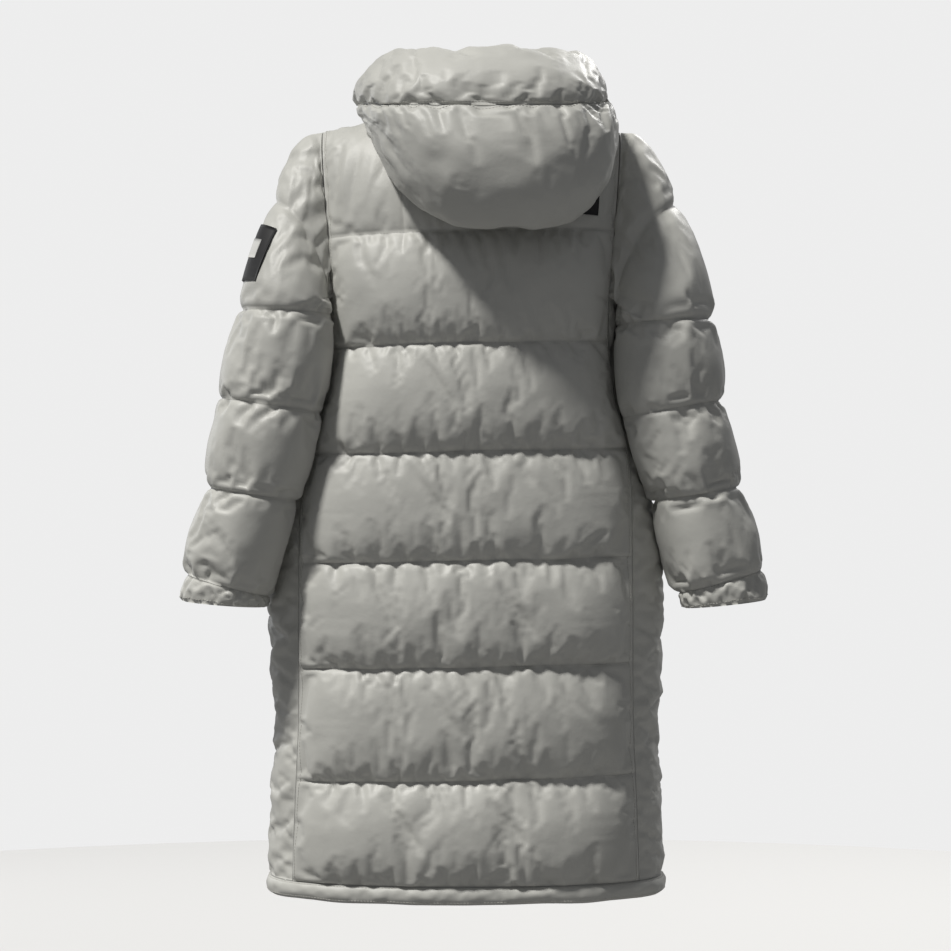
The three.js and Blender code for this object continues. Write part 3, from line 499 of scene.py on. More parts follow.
def add_wall(name, outer, inner, outside, inside=None, around=False, stride=INNER_STRIDE):
    """Closed wall: a fine outer grid, a coarser inner grid and the rims that join them."""
    rows, columns = outer.shape[:2]
    coarse = inner[::stride, ::stride]
    k_rows, k_columns = coarse.shape[:2]
    verts = np.concatenate([outer.reshape(-1, 3), coarse.reshape(-1, 3)])
    out = np.arange(rows * columns).reshape(rows, columns)
    into = rows * columns + np.arange(k_rows * k_columns).reshape(k_rows, k_columns)
    front = grid_quads(rows, columns, 0, around)
    back = grid_quads(k_rows, k_columns, rows * columns, around)[:, ::-1]
    close = (lambda row: np.append(row, row[0])) if around else (lambda row: row)
    rims = [rim(close(out[0]), close(into[0]))[:, ::-1], rim(close(out[-1]), close(into[-1]))]
    if not around:
        rims += [rim(out[:, 0], into[:, 0]), rim(out[:, -1], into[:, -1])[:, ::-1]]
    tris = np.concatenate(rims)
    halves = lambda q: np.concatenate([q[:, [0, 1, 2]], q[:, [0, 2, 3]]])
    volume = signed_volume(verts, np.concatenate([halves(front), halves(back), tris]))
    slots = np.concatenate([np.zeros(len(front), int), np.full(len(back), 1 if inside else 0)])
    quads = np.concatenate([front, back])
    if volume < 0:
        quads, tris = quads[:, ::-1], tris[:, ::-1]
    materials = [outside, inside] if inside else [outside]
    return add_mesh(name, verts, quads, tris, materials, slots)


def simulate(grid, normal, pinned, around, kind):
    """Movement of a grid's points by Blender's cloth, its seams pinned and its cloth cut larger."""
    rows, columns = grid.shape[:2]
    quads = grid_quads(rows, columns, 0, around)
    corners = grid.reshape(-1, 3)[quads[len(quads) // 2]]
    facing = np.cross(corners[2] - corners[0], corners[3] - corners[1])
    if facing @ normal.reshape(-1, 3)[quads[len(quads) // 2][0]] < 0:
        quads = quads[:, ::-1]
    sheet = add_mesh("settling", grid.reshape(-1, 3), quads)
    sheet.vertex_groups.new(name="seams").add(np.flatnonzero(pinned.ravel()).tolist(), 1, "REPLACE")
    cloth = sheet.modifiers.new("cloth", "CLOTH")
    rules = cloth.settings
    for rule, value in CLOTH_RULES.items():
        setattr(rules, rule, value)
    rules.shrink_min = -SIM_GROWTH[kind]
    rules.uniform_pressure_force = SIM_PRESSURE[kind]
    rules.vertex_group_mass = "seams"
    rules.effector_weights.gravity = 0
    cloth.collision_settings.use_collision = False
    scene = bpy.context.scene
    for frame_number in range(1, SIM_FRAMES + 1):
        scene.frame_set(frame_number)
    settled = sheet.evaluated_get(bpy.context.evaluated_depsgraph_get())
    found = np.empty(rows * columns * 3, np.float32)
    settled.data.vertices.foreach_get("co", found)
    scene.frame_set(1)
    bpy.data.objects.remove(sheet)
    return found.reshape(grid.shape) / MM - grid


def blurred(values, reach, around):
    """Running mean along the rows, over that many columns each way."""
    wide = np.pad(values, ((0, 0), (reach, reach), (0, 0)), mode="wrap" if around else "reflect")
    run = np.cumsum(np.pad(wide, ((0, 0), (1, 0), (0, 0))), axis=1)
    return (run[:, 2 * reach + 1:] - run[:, :-2 * reach - 1]) / (2 * reach + 1)


def doubled(values, axis, around=False):
    """Twice as many points along an axis, the new ones on a cubic through their neighbours."""
    values = np.moveaxis(values, axis, 0)
    wide = np.pad(values, ((1, 2 if around else 1), (0, 0), (0, 0)), mode="wrap" if around else "edge")
    middle = (9 * (wide[1:-2] + wide[2:-1]) - wide[:-3] - wide[3:]) / 16
    both = np.empty((len(values) + len(middle), *values.shape[1:]))
    both[::2], both[1::2] = values, middle
    return np.moveaxis(both, 0, axis)


def settle(outer, inner, normal, pinned, kind, strength=1, around=False, window=90):
    """Puckers by simulation: the movement less its running mean keeps the form and its size."""
    moved = simulate(outer[::2, ::2], normal[::2, ::2], pinned[::2, ::2], around, kind)
    cell = 2 * np.median(np.linalg.norm(np.diff(outer, axis=1), axis=-1))
    moved -= blurred(moved, round(window / cell), around)
    size = np.linalg.norm(moved, axis=-1, keepdims=True)
    moved *= np.minimum(1, SIM_CAP / np.maximum(size, 1e-6))
    moved = doubled(doubled(moved, 0), 1, around) * np.broadcast_to(strength, outer.shape[:2])[..., None]
    depth = (moved * normal).sum(axis=-1)
    room = ((outer - inner) * normal).sum(axis=-1) - SETTLED_WALL
    lift = np.maximum(0, -room - depth)
    return outer + (moved + normal * lift[..., None]) * ~pinned[..., None]


def whole_steps(length, step, stride=2 * INNER_STRIDE):
    """Number of steps of about that size, a multiple of the stride."""
    return max(stride, stride * round(length / step / stride))


def puckers(along, gap, seed, slant=0.25):
    """Gathers beside a seam: uneven ridges across it, 8 to 25 mm apart, that die out in 40 mm."""
    drift = along + slant * gap
    strength = 0.55 + 0.45 * noise(drift, 0, 90, seed)
    ridges = 0.6 * noise(drift, gap * 0.3, 13, seed + 1) + 0.4 * noise(drift, gap * 0.4, 24, seed + 2)
    reach = np.minimum(1, gap / 7) * np.exp(-gap / mix(18, 34, strength))
    return 3.6 * strength * ridges * reach


def channel_relief(along, t, height, seed):
    """Uneven surface of one padded channel: gathers at both seams and soft lumps of down."""
    above, below = t * height, (1 - t) * height
    lumps = 1.8 * noise(along, above, 75, seed + 5) + 0.9 * noise(along, above, 33, seed + 6)
    return puckers(along, above, seed) + puckers(along, below, seed + 10, -0.2) + lumps * swell(t)


def creased(grid, rows, side=0):
    """Soft troughs and ridges: a bell curve across each line of the table, faded to its ends."""
    x, z = grid[..., 0], grid[..., 2]
    depth = np.zeros(x.shape)
    for k in range(len(rows["x"])):
        start = np.array([rows["x"][k], rows["z"][k]])
        way = np.array([rows["to_x"][k], rows["to_z"][k]]) - start
        t = ((x - start[0]) * way[0] + (z - start[1]) * way[1]) / (way @ way)
        aside = ((x - start[0]) * way[1] - (z - start[1]) * way[0]) / np.linalg.norm(way)
        aside = aside + 3 * np.sin(2.4 * t + k)
        fade = np.clip(4 * t * (1 - t), 0, 1) ** 0.8
        depth -= rows["depth"][k] * fade * np.exp(-(aside / rows["width"][k]) ** 2)
    return depth if side == 0 else depth * (grid[..., 1] * side > 0)


def sagging(t):
    """Down settles, so a channel is fullest below its middle."""
    return t ** 1.12


def new_material(name):
    """Material, its node tree and its main shader."""
    material = bpy.data.materials.new(name)
    material.use_nodes = True
    return material, material.node_tree, material.node_tree.nodes["Principled BSDF"]


def set_inputs(node, **values):
    """Values for a node's sockets by their names, an underscore for each space."""
    for name, value in values.items():
        node.inputs[name.replace("_", " ")].default_value = value
    return node


def fabric(name, colour, roughness, crinkle, sheen):
    """Woven cloth: uneven tone, fine crinkles and a small weave in its bump."""
    material, tree, shader = new_material(name)
    new, link = tree.nodes.new, tree.links.new
    place = new("ShaderNodeTexCoord").outputs["Object"]

    def clouds(**values):
        """Noise on the object's own coordinates."""
        node = set_inputs(new("ShaderNodeTexNoise"), **values)
        link(place, node.inputs["Vector"])
        return node.outputs["Fac"]

    tone = new("ShaderNodeValToRGB")
    for stop, position, shade in zip(tone.color_ramp.elements, (0.32, 0.68), (0.93, 1.05)):
        stop.position = position
        stop.color = (*[min(1, c * shade) for c in colour], 1)
    link(clouds(Scale=7, Detail=5), tone.inputs["Fac"])
    link(tone.outputs["Color"], shader.inputs["Base Color"])

    gloss = set_inputs(new("ShaderNodeMapRange"), To_Min=roughness - 0.06, To_Max=roughness + 0.08)
    link(clouds(Scale=22, Detail=3), gloss.inputs["Value"])
    link(gloss.outputs["Result"], shader.inputs["Roughness"])

    creases = set_inputs(new("ShaderNodeBump"), Strength=crinkle, Distance=0.004)
    link(clouds(Scale=48, Detail=4, Roughness=0.55), creases.inputs["Height"])
    grain = set_inputs(new("ShaderNodeBump"), Strength=0.25, Distance=0.0004)
    link(clouds(Scale=1400, Detail=1), grain.inputs["Height"])
    link(creases.outputs["Normal"], grain.inputs["Normal"])
    link(grain.outputs["Normal"], shader.inputs["Normal"])
    set_inputs(shader, Sheen_Weight=sheen, Sheen_Roughness=0.4, Specular_IOR_Level=0.4)
    return material


def metal(name, colour, roughness):
    """Satin metal with faint uneven polish."""
    material, tree, shader = new_material(name)
    new, link = tree.nodes.new, tree.links.new
    set_inputs(shader, Base_Color=(*colour, 1), Metallic=1)
    cloud = set_inputs(new("ShaderNodeTexNoise"), Scale=400)
    link(new("ShaderNodeTexCoord").outputs["Object"], cloud.inputs["Vector"])
    polish = set_inputs(new("ShaderNodeMapRange"), To_Min=roughness - 0.05, To_Max=roughness + 0.1)
    link(cloud.outputs["Fac"], polish.inputs["Value"])
    link(polish.outputs["Result"], shader.inputs["Roughness"])
    return material


SHELL = fabric("shell_nylon", (0.535, 0.533, 0.50), 0.46, 0.16, 0.12)
LINING = fabric("dark_lining", (0.075, 0.066, 0.085), 0.5, 0.14, 0.2)
THREAD = fabric("thread", (0.50, 0.495, 0.46), 0.7, 0.0, 0.0)
TAPE = fabric("zip_tape_weave", (0.47, 0.465, 0.43), 0.75, 0.04, 0.1)
PATCH = fabric("black_patch", (0.012, 0.012, 0.013), 0.62, 0.05, 0.15)
PALE = fabric("pale_bar", (0.62, 0.62, 0.60), 0.6, 0.0, 0.1)
METAL = metal("zip_metal", (0.52, 0.52, 0.53), 0.32)


def seam_wave(s, z):
    """Hand-sewn waver of a quilting seam, and its rise towards the wearer's right."""
    return -4.5 * s * ease((HEM_SEAM_Z - z) / -60) + 1.2 * noise(s * 220, z, 60, 3)


def panel_point(s, side, z, zip_edge):
    """Inner wall of a panel at a share of its breadth and a height, above or below the underarm."""
    seam_x = body(z, "seam_x")
    if zip_edge:
        share = (np.abs(s) - ZIP_SHARE) / (1 - ZIP_SHARE)
        x = np.sign(s) * mix(ZIP_HALF_GAP, seam_x - EDGE_INSET, share)
    else:
        x = s * (seam_x - EDGE_INSET)
    low = body_point(np.minimum(z, UNDERARM_Z), x, side)
    high = upper_point(s, side, upper_level(s, side, np.maximum(z, UNDERARM_Z)))
    return np.where((z > UNDERARM_Z)[..., None], high, low)


def panel_columns(shares, count):
    """Shares across a panel: close at the neck's ends at the top edge, and even further down."""
    first, last = shares
    even = np.linspace(first, last, count + 1)
    nearest = min(abs(first), abs(last)) if first * last > 0 else 0
    angle = mix(np.arcsin(nearest / NECK_SHARE), np.pi / 2,
                (np.abs(even) - nearest) / (NECK_SHARE - nearest))
    close = np.where(np.abs(even) < NECK_SHARE, np.sign(even) * NECK_SHARE * np.sin(angle), even)
    return close, even


def quilted_panel(name, side, shares, seed):
    """Back or front: six padded channels under a yoke, each swelling between its seams."""
    zip_edge = side < 0
    columns = whole_steps(abs(shares[1] - shares[0]) * PANEL_HALF_BREADTH, PANEL_STEP)
    close, even = panel_columns(shares, columns)
    levels = [12, *QUILT_Z]
    inner, thickness, relief, seam_rows, fullness = [], [], [], [], []
    share_fade = edge_fade(np.linspace(0, 1, columns + 1))
    for channel in range(len(levels) - 1):
        height = levels[channel] - levels[channel + 1]
        count = whole_steps(height * CHANNEL_ARC, PANEL_STEP)
        t = np.linspace(0, 1, count + 1)[(1 if channel else 0):, None]
        if channel == 0:
            s = mix(close, even, ease(t))
            seam_z = QUILT_Z[0] + seam_wave(even, QUILT_Z[0])
            level = mix(1, upper_level(s, side, seam_z), t)
            grid = upper_point(s, side, level)
            crest = YOKE_CREST
        else:
            s = np.broadcast_to(even, (len(t), columns + 1))
            z = mix(levels[channel], levels[channel + 1], t)
            z = z + seam_wave(s, z)
            if channel == len(levels) - 2:
                z = np.where(t == 1, HEM_SEAM_Z + SEAM_GAP / 2, z)
            grid = panel_point(s, side, z, zip_edge)
            crest = BODY_CREST
        wall = mix(QUILT_WALL, EDGE_WALL, 1 - share_fade)
        if channel == 0:
            wall = mix(wall, EDGE_WALL, ease(1 - t / 0.2))
        if channel == len(levels) - 2:
            wall = mix(wall, EDGE_WALL, ease((t - 0.9) / 0.1))
        along = even * PANEL_HALF_BREADTH
        bumps = channel_relief(along[None, :], t, height, seed + 40 * channel)
        inner.append(grid)
        thickness.append(wall + (crest - wall) * share_fade * swell(sagging(t)))
        relief.append(bumps * share_fade * np.minimum(1, crest / BODY_CREST + 0.1))
        seam_rows.append(sum(map(len, inner)) - 1)
        fullness.append(swell(t) + (0.4 if channel == 0 else 0))
    inner, thickness, relief = (np.concatenate(part) for part in (inner, thickness, relief))
    normal = normals_of(inner, way=(0, side, 0))
    relief += creased(inner, CREASES["back" if side > 0 else "front"]) * np.minimum(1, thickness / 10)
    outer = inner + normal * np.maximum(thickness + relief, LEAST_WALL)[..., None]
    pinned = pins(outer, [0, *seam_rows])
    outer = settle(outer, inner, normal, pinned, "panel", 1 - MIDDLE_CALM * np.concatenate(fullness))
    piece = add_wall(name, outer, inner, SHELL, LINING if name == "back" else SHELL)
    return piece, outer, seam_rows


def side_panel(name, hand, seed):
    """Plain padded side: one soft swell across it, with slanting drag creases."""
    step = whole_steps(UNDERARM_Z - HEM_SEAM_Z, SIDE_STEP)
    z = np.linspace(UNDERARM_Z, HEM_SEAM_Z + SEAM_GAP / 2, step + 1)[:, None]
    across = whole_steps(SIDE_BREADTH, SIDE_STEP)
    t = np.linspace(0, 1, across + 1)[None, :]
    inner = side_point(z, t, hand)
    normal = unit(body_gradient(inner))
    ends = np.minimum(ease((UNDERARM_Z - z) / 25), ease((z - HEM_SEAM_Z) / 20))
    run = t * SIDE_BREADTH
    slant = z + 0.75 * run
    creases = (1.5 * noise(slant, run * 0.35, 38, seed) + 1.1 * noise(z - 0.5 * run, run * 0.3, 26, seed + 1)
               + 0.8 * noise(z, run, 17, seed + 2))
    full = np.sin(np.pi * t)
    padding = mix(EDGE_WALL, SIDE_WALL, full * ends) + creases * full ** 0.5 * ends
    outer = inner + normal * padding[..., None]
    outer[..., 2] -= EDGE_WALL * full * (1 - ease((UNDERARM_Z - z) / 12))
    outer = settle(outer, inner, normal, pins(outer, [0, 1, 2, -1]), "side", window=60)
    return add_wall(name, outer, inner, SHELL)


def hem_ring(z):
    """Way round the hem from the zip over the wearer's left and back again, at a height."""
    seam_x = float(body(z, "seam_x"))
    front = np.linspace(ZIP_HALF_GAP, seam_x, HEM_POINTS["front"])
    behind = np.linspace(seam_x, -seam_x, HEM_POINTS["back"])
    side_t = np.linspace(0, 1, HEM_POINTS["side"])
    return np.concatenate([
        body_point(z, front[:-1], -1),
        side_point(z, side_t[::-1], 1)[:-1],
        body_point(z, behind[:-1], 1),
        side_point(z, side_t, -1)[:-1],
        body_point(z, -front[::-1], -1),
    ])


def hem_band():
    """Hem band: a rolled edge with close cross wrinkles; its two rows of stitching are laid with the other
    seams.
    """
    t = np.linspace(0, 1, HEM_ROWS + 1)[:, None]
    levels = mix(HEM_SEAM_Z - SEAM_GAP / 2, HEM_Z, t[:, 0])
    inner = np.stack([hem_ring(z) for z in levels])
    inner = inner[:, :3 * ((inner.shape[1] - 1) // 3) + 1]
    inner[:, -1] = np.stack([hem_ring(z)[-1] for z in levels])
    along = lengths(inner, 1)
    normal = unit(body_gradient(inner))
    roll = np.sin(np.pi * t) ** 0.5
    wrinkles = 1.3 * noise(along, t * 30, 16, 71) + 0.8 * noise(along, t * 24, 8, 72)
    sag = 2.0 * noise(along, 0, 55, 73)
    outer = inner + normal * (mix(EDGE_WALL, HEM_CREST, roll) + wrinkles * (0.3 + 0.7 * roll))[..., None]
    outer[..., 2] += sag * ease(t * 1.2) * 0.6
    return add_wall("hem_band", outer, inner, SHELL), outer


def clear_of_body(p, room):
    """Moves points that are too near the body's padding straight out, until they are clear."""
    for _ in range(6):
        level = p.copy()
        level[..., 2] = np.minimum(p[..., 2], UNDERARM_Z)
        gradient = body_gradient(level)
        steep = np.maximum(np.linalg.norm(gradient, axis=-1), 1e-9)
        distance = (body_measure(level) - 1) / steep
        blend = np.clip((np.abs(p[..., 1]) - SIDE_REACH_Y) / SIDE_REACH_BLEND, 0, 1)
        padding = mix(SIDE_WALL, BODY_CREST, blend) + SLEEVE_CLEARANCE + room
        flat = gradient * np.array([1, 1, 0])
        short = np.maximum(0, padding - distance) * ease((SLEEVE_FREE_Z - p[..., 2]) / 25 + 0.5)
        p = p + unit(flat) * short[..., None]
    return p


def armhole(hand, angles):
    """Armhole at angles from the shoulder over the back, under the arm and up the front."""
    around = np.degrees(angles)
    turn = np.where(around > 180, 360 - around, around)
    step = np.minimum(turn / UNDERARM_ANGLE, 1) * 8
    seam = [upper_level(np.array(float(hand)), side, QUILT_Z[0]) for side in (1, -1)]
    inner, normal = [], []
    for side, low in zip((1, -1), seam):
        level_z = np.interp(step, [6, 7, 8], [QUILT_Z[0], ARMHOLE_MIDDLE_Z, UNDERARM_Z])
        level = np.where(step <= 6, mix(1, low, step / 6), upper_level(float(hand), side, level_z))
        s = np.full_like(level, float(hand))
        here = upper_point(s, side, level)
        across = upper_point(s + 0.004, side, level) - upper_point(s - 0.004, side, level)
        up = upper_point(s, side, np.minimum(1, level + 0.004)) - upper_point(s, side, level - 0.004)
        way = unit(np.cross(across, up))
        way = np.where((way[..., 1] * side < 0)[..., None], -way, way)
        inner.append(here)
        normal.append(way)
    behind = np.sin(angles) >= 0
    edge = np.where(behind[:, None], inner[0], inner[1])
    out = np.where(behind[:, None], normal[0], normal[1])
    t = (around - UNDERARM_ANGLE) / (360 - 2 * UNDERARM_ANGLE)
    under = side_point(np.full_like(t, UNDERARM_Z), np.clip(t, 0, 1), hand)
    low = (t >= 0) & (t <= 1)
    inner_loop = np.where(low[:, None], under, edge)
    gradient = unit(body_gradient(under))
    out = np.where(low[:, None], gradient, out)
    outer_loop = inner_loop + EDGE_WALL * out
    outer_loop[..., 2] -= np.where(low, EDGE_WALL * np.sin(np.pi * np.clip(t, 0, 1)), 0)
    shift = np.where(low[:, None], (hand * 0.1, 0, SEAM_GAP), (hand * SEAM_GAP, 0, 0))
    return inner_loop + shift, outer_loop + shift


def ring_point(ring, angle, hand):
    """Ellipse round a sleeve: angle 0 outside, 90 at the back, 180 against the body."""
    reach = np.array([ring["outer_x"] - ring["inner_x"], ring["outer_z"] - ring["inner_z"]]) / 2
    reach = reach * (1 - QUILT_WALL / np.linalg.norm(reach))
    x = (ring["outer_x"] + ring["inner_x"]) / 2 + reach[0] * np.cos(angle)
    z = (ring["outer_z"] + ring["inner_z"]) / 2 + reach[1] * np.cos(angle)
    return points(hand * x, ring["y"] + ring["half_depth"] * np.sin(angle), z)


def sleeve(name, seed):
    """Sleeve and cuff: a cap that leaves the armhole outwards, then padded channels to the wrist."""
    hand = HANDS[name]
    rings = [{key: value[k] for key, value in SLEEVES[name].items()} for k in range(5)]
    around = whole_steps(SLEEVE_GIRTH, SLEEVE_STEP)
    angles = np.linspace(0, 2 * np.pi, around, endpoint=False)
    start, start_outer = armhole(hand, angles)
    end = ring_point(rings[0], angles, hand)
    reach = np.linalg.norm(end - start, axis=-1, keepdims=True)
    leave = unit(CAP_LEAVES * np.array([hand, 1, 1])) * np.maximum(reach * CAP_FULLNESS, CAP_LEAST_PULL)
    arrive = unit(ring_point(rings[1], angles, hand) - end) * reach
    cap = lambda v: hermite(start, leave, end, arrive, v[:, None])
    share = ((1 + np.cos(angles)) / 2) ** CAP_SEAM_POWER
    seam = mix(CAP_SEAM_UNDER, CAP_SEAM_OUTER, share)

    run = angles / (2 * np.pi) * SLEEVE_GIRTH
    along = np.minimum(run, SLEEVE_GIRTH - run) * np.where(run > SLEEVE_GIRTH / 2, -1, 1)
    inner, full, relief, seam_rows = [start], [np.zeros(around)], [np.zeros(around)], []

    def add_channel(place, height, count, fullness, number):
        """Rows of one channel, from the seam above it to the seam below it."""
        for t in np.linspace(0, 1, count + 1)[1:]:
            inner.append(place(t))
            full.append(fullness * swell(sagging(t)))
            bumps = channel_relief(along, t, height, seed + 40 * number)
            relief.append(bumps * fullness ** 0.5)
        seam_rows.append(len(inner) - 1)

    upper_width = np.minimum(1, np.linalg.norm(cap(seam) - start, axis=-1) / CAP_WIDE)
    lower_width = np.minimum(1, np.linalg.norm(end - cap(seam), axis=-1) / CAP_WIDE)
    upper, lower = CAP_CHANNELS
    add_channel(lambda t: cap(seam * t), upper, whole_steps(upper * CHANNEL_ARC, SLEEVE_STEP), upper_width, 0)
    add_channel(lambda t: cap(mix(seam, 1, t)), lower, whole_steps(lower * CHANNEL_ARC, SLEEVE_STEP),
                lower_width, 1)
    for k in range(3):
        height = rings[k]["outer_z"] - rings[k + 1]["outer_z"]
        count = whole_steps(height, SLEEVE_STEP)
        low, high = ring_point(rings[k], angles, hand), ring_point(rings[k + 1], angles, hand)
        add_channel(lambda t: mix(low, high, t), height, count, np.ones(around), 2 + k)
    split = len(inner) - 1
    low, high = ring_point(rings[3], angles, hand), ring_point(rings[4], angles, hand)
    add_channel(lambda t: mix(low, high, t), CUFF_HEIGHT, whole_steps(CUFF_HEIGHT, SLEEVE_STEP),
                np.full(around, CUFF_FULLNESS), 6)

    inner, full, relief = np.stack(inner), np.stack(full), np.stack(relief)
    normal = normals_of(inner, around=True, way=(hand, 0, 0))
    relief[split:] *= 0.6
    thickness = mix(QUILT_WALL, SLEEVE_CREST, full)
    outer = inner + normal * np.maximum(thickness + relief, LEAST_WALL)[..., None]
    join = ease(np.arange(len(inner)) / JOIN_ROWS)[:, None, None]
    outer = mix(start_outer[None] + (inner - start[None]), outer, join)
    pinned = pins(outer, [0, *seam_rows], edges=False)
    cap_end = seam_rows[1]
    below = ease((np.arange(len(outer)) - 0.7 * cap_end) / (0.3 * cap_end))[:, None]
    strength = mix(CAP_CALM, 1 - MIDDLE_CALM * full, below)
    outer = settle(outer, inner, normal, pinned, "sleeve", strength, around=True)
    fade = np.minimum(1, np.arange(len(inner)) / FREE_ROWS)[:, None]
    outer = np.concatenate([outer[:1], clear_of_body(outer[1:], ((fade - 1) * SLEEVE_CLEARANCE)[1:])])
    room = (SLEEVE_LEAST_WALL + (fade - 1) * SLEEVE_CLEARANCE)[1:]
    inner = np.concatenate([inner[:1], clear_of_body(inner[1:], room)])
    top = add_wall(f"sleeve_{name}", outer[:split + 1], inner[:split + 1], SHELL, around=True)
    lowered = [outer[split:].copy(), inner[split:].copy()]
    for grid in lowered:
        grid[0, :, 2] -= SEAM_GAP
    cuff = add_wall(f"cuff_{name}", lowered[0], lowered[1], SHELL, around=True)
    return top, cuff, outer, seam_rows


def patch(name, outer, around=False):
    """Woven patch on the cloth: the grid's points nearest to its node, evened and moved out."""
    if around:
        outer = np.roll(outer, outer.shape[1] // 2, axis=1)
    corners = np.array([tuple(v.co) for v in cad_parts[name].data.vertices]) / MM
    away = np.linalg.norm(outer[None] - corners[:, None, None], axis=-1).reshape(len(corners), -1)
    row, column = np.divmod(away.argmin(axis=1), outer.shape[1])
    window = (slice(row.min(), row.max() + 1), slice(column.min(), column.max() + 1))
    even = blurred(outer, 3, False)
    even = np.swapaxes(blurred(np.swapaxes(even, 0, 1), 3, False), 0, 1)
    normal = normals_of(even, way=(outer - outer.mean(axis=(0, 1)))[outer.shape[0] // 2, outer.shape[1] // 2])
    even, normal, outer = even[window], normal[window], outer[window]
    proud = np.maximum(0, ((outer - even) * normal).sum(axis=-1)).max() + PATCH_LIFT
    low, high = even + normal * proud, even + normal * (proud + PATCH_THICKNESS)
    piece = add_wall(name, high, low, PATCH, stride=1)
    return piece, high, normal


def pale_bar(high, normal):
    """Plain pale bar in the middle of the sleeve's patch."""
    share = lambda name, count: slice(*(round(end * (count - 1)) for end in BAR[name]))
    window = (share("rows", high.shape[0]), share("columns", high.shape[1]))
    low, top = (high[window] + normal[window] * lift for lift in (PATCH_LIFT, PATCH_LIFT + BAR_THICKNESS))
    return add_wall("sleeve_patch_bar", top, low, PALE, stride=1)


def hood_point(row, angle):
    """Hood's lining side at a row and an angle: sine and cosine to powers, between its reaches."""
    at = lambda name: smooth(np.arange(12), HOOD[name], row)
    cosine = np.cos(angle)
    ends = np.abs(cosine) ** HOOD_SQUARENESS
    drop = np.abs(cosine) ** HOOD_DROP
    y = np.where(cosine > 0, at("y_back"), at("y_front"))
    z = np.where(cosine > 0, at("z_back"), at("z_front"))
    across = np.sign(angle) * at("w") * np.abs(np.sin(angle)) ** HOOD_SQUARENESS
    across = np.where(cosine < 0, np.sign(angle) * np.maximum(np.abs(across), ZIP_HALF_GAP), across)
    return points(across + at("x") * (1 + cosine) / 2,
                  mix(at("y_side"), y, ends), mix(at("z_side"), z, drop))


def neckline(angle, layer):
    """Panels' neckline at the hood's angles, on their inner or outer face, a little inside it."""
    side = np.where(np.cos(angle) > 0, 1, -1)
    s = NECK_SHARE * np.sin(angle)
    s = np.where((side < 0) & (np.abs(s) < ZIP_SHARE), np.sign(angle) * ZIP_SHARE, s)
    edge = np.where((side > 0)[:, None], top_edge(s, 1), top_edge(s, -1))
    inwards = unit(points(-edge[:, 0], -edge[:, 1], 0 * s)) * NECKLINE_INSET
    return edge + inwards + np.array([0, 0, EDGE_WALL * 0.8 * layer])


def hood_thickness(row):
    """Padding by row, less an exponential groove at the cross seam."""
    base = smooth(np.arange(12), HOOD["thick"], np.maximum(row, 0))
    gap = np.abs(row - HOOD_SEAM_ROW) * HOOD_ROW_LENGTH
    return base * (1 - 0.64 * np.exp(-gap / 9))


def hood():
    """Hood shell in two parts, split at the cross seam, over a dark lining."""
    around = whole_steps(HOOD_GIRTH, HOOD_STEP)
    angle = np.radians(np.linspace(180, -180, around + 1))
    rows = np.linspace(-1, 11, 12 * HOOD_ROW_STEPS + 1)[:, None]
    grid = hood_point(np.maximum(rows, 0), angle[None, :])
    start = neckline(angle, 0)
    rise = ease(rows + 1)[..., None] * 0.5 + 0.5 * np.clip(rows + 1, 0, 1)[..., None]
    inner = np.where((rows < 0)[..., None], mix(start[None], grid, rise), grid)
    normal = backward_normals(inner, len(rows) * 3 // 4)
    along = angle[None, :] / np.pi * HOOD_GIRTH / 2
    gap = np.abs(rows - HOOD_SEAM_ROW) * HOOD_ROW_LENGTH
    edge = edge_fade(np.linspace(0, 1, around + 1))
    run = rows * HOOD_ROW_LENGTH
    relief = (puckers(along, gap, 301) * 1.8 + 3.5 * noise(along, run, 95, 303)
              + 2.6 * noise(along + rows * 30, rows * 40, 42, 304) + 1.2 * noise(along, run, 20, 305))
    relief = (relief + creased(inner, CREASES["hood"], 1)) * ease(rows + 0.6) * ease((11 - rows) / 0.5) * edge
    thick = mix(EDGE_WALL, hood_thickness(rows), edge)
    outer = inner + normal * np.maximum(thick + relief, LEAST_WALL)[..., None]
    outer[0] = neckline(angle, 1)
    split = (HOOD_SEAM_ROW + 1) * HOOD_ROW_STEPS
    free = (slice(None), slice(HOOD_ZIP_COLUMNS, -HOOD_ZIP_COLUMNS))
    pinned = pins(outer[free], [0, 1, split, -1])
    outer[free] = settle(outer[free], inner[free], normal[free], pinned, "hood", HOOD_CALM, window=110)
    lower = add_wall("hood_lower", outer[:split + 1], inner[:split + 1], SHELL, LINING)
    raised = [outer[split:].copy(), inner[split:].copy()]
    for part in raised:
        part[0, :, 2] += SEAM_GAP
    upper = add_wall("hood_upper", raised[0], raised[1], SHELL, LINING)
    first = (HOOD_SEAM_ROW - LINING_FIRST_ROW + 1) * HOOD_ROW_STEPS
    wrinkle = 0.25 + 0.25 * noise(along, run, 24, 311)
    near = (inner - normal * SEAM_GAP)[first:]
    far = (inner - normal * (SEAM_GAP + LINING_WALL + wrinkle[..., None]))[first:]
    lining = add_wall("hood_lining", near, far, LINING, stride=1)
    pieces = {"hood_lower": lower, "hood_upper": upper, "hood_lining": lining}
    return pieces, near, outer, split


def zip_line():
    """Middle line of the front from the hem to the hood's rim, with its outward normals."""
    low = np.arange(HEM_Z, UNDERARM_Z, 8.0)
    line = [body_point(low, 0 * low, -1)]
    level = np.linspace(0, 1, 30)
    line.append(upper_point(0 * level, -1, level))
    row = np.linspace(0.02, TAPE_TOP_ROW, 60)
    rise = hood_point(row, np.full_like(row, np.pi))
    line.append(rise)
    line = np.concatenate(line)
    line[:, 0] = body(np.minimum(line[:, 2], UNDERARM_Z), "shift_x")
    along = np.gradient(line, axis=0)
    normal = unit(points(0 * along[:, 0], -along[:, 2], along[:, 1]))
    return line, normal


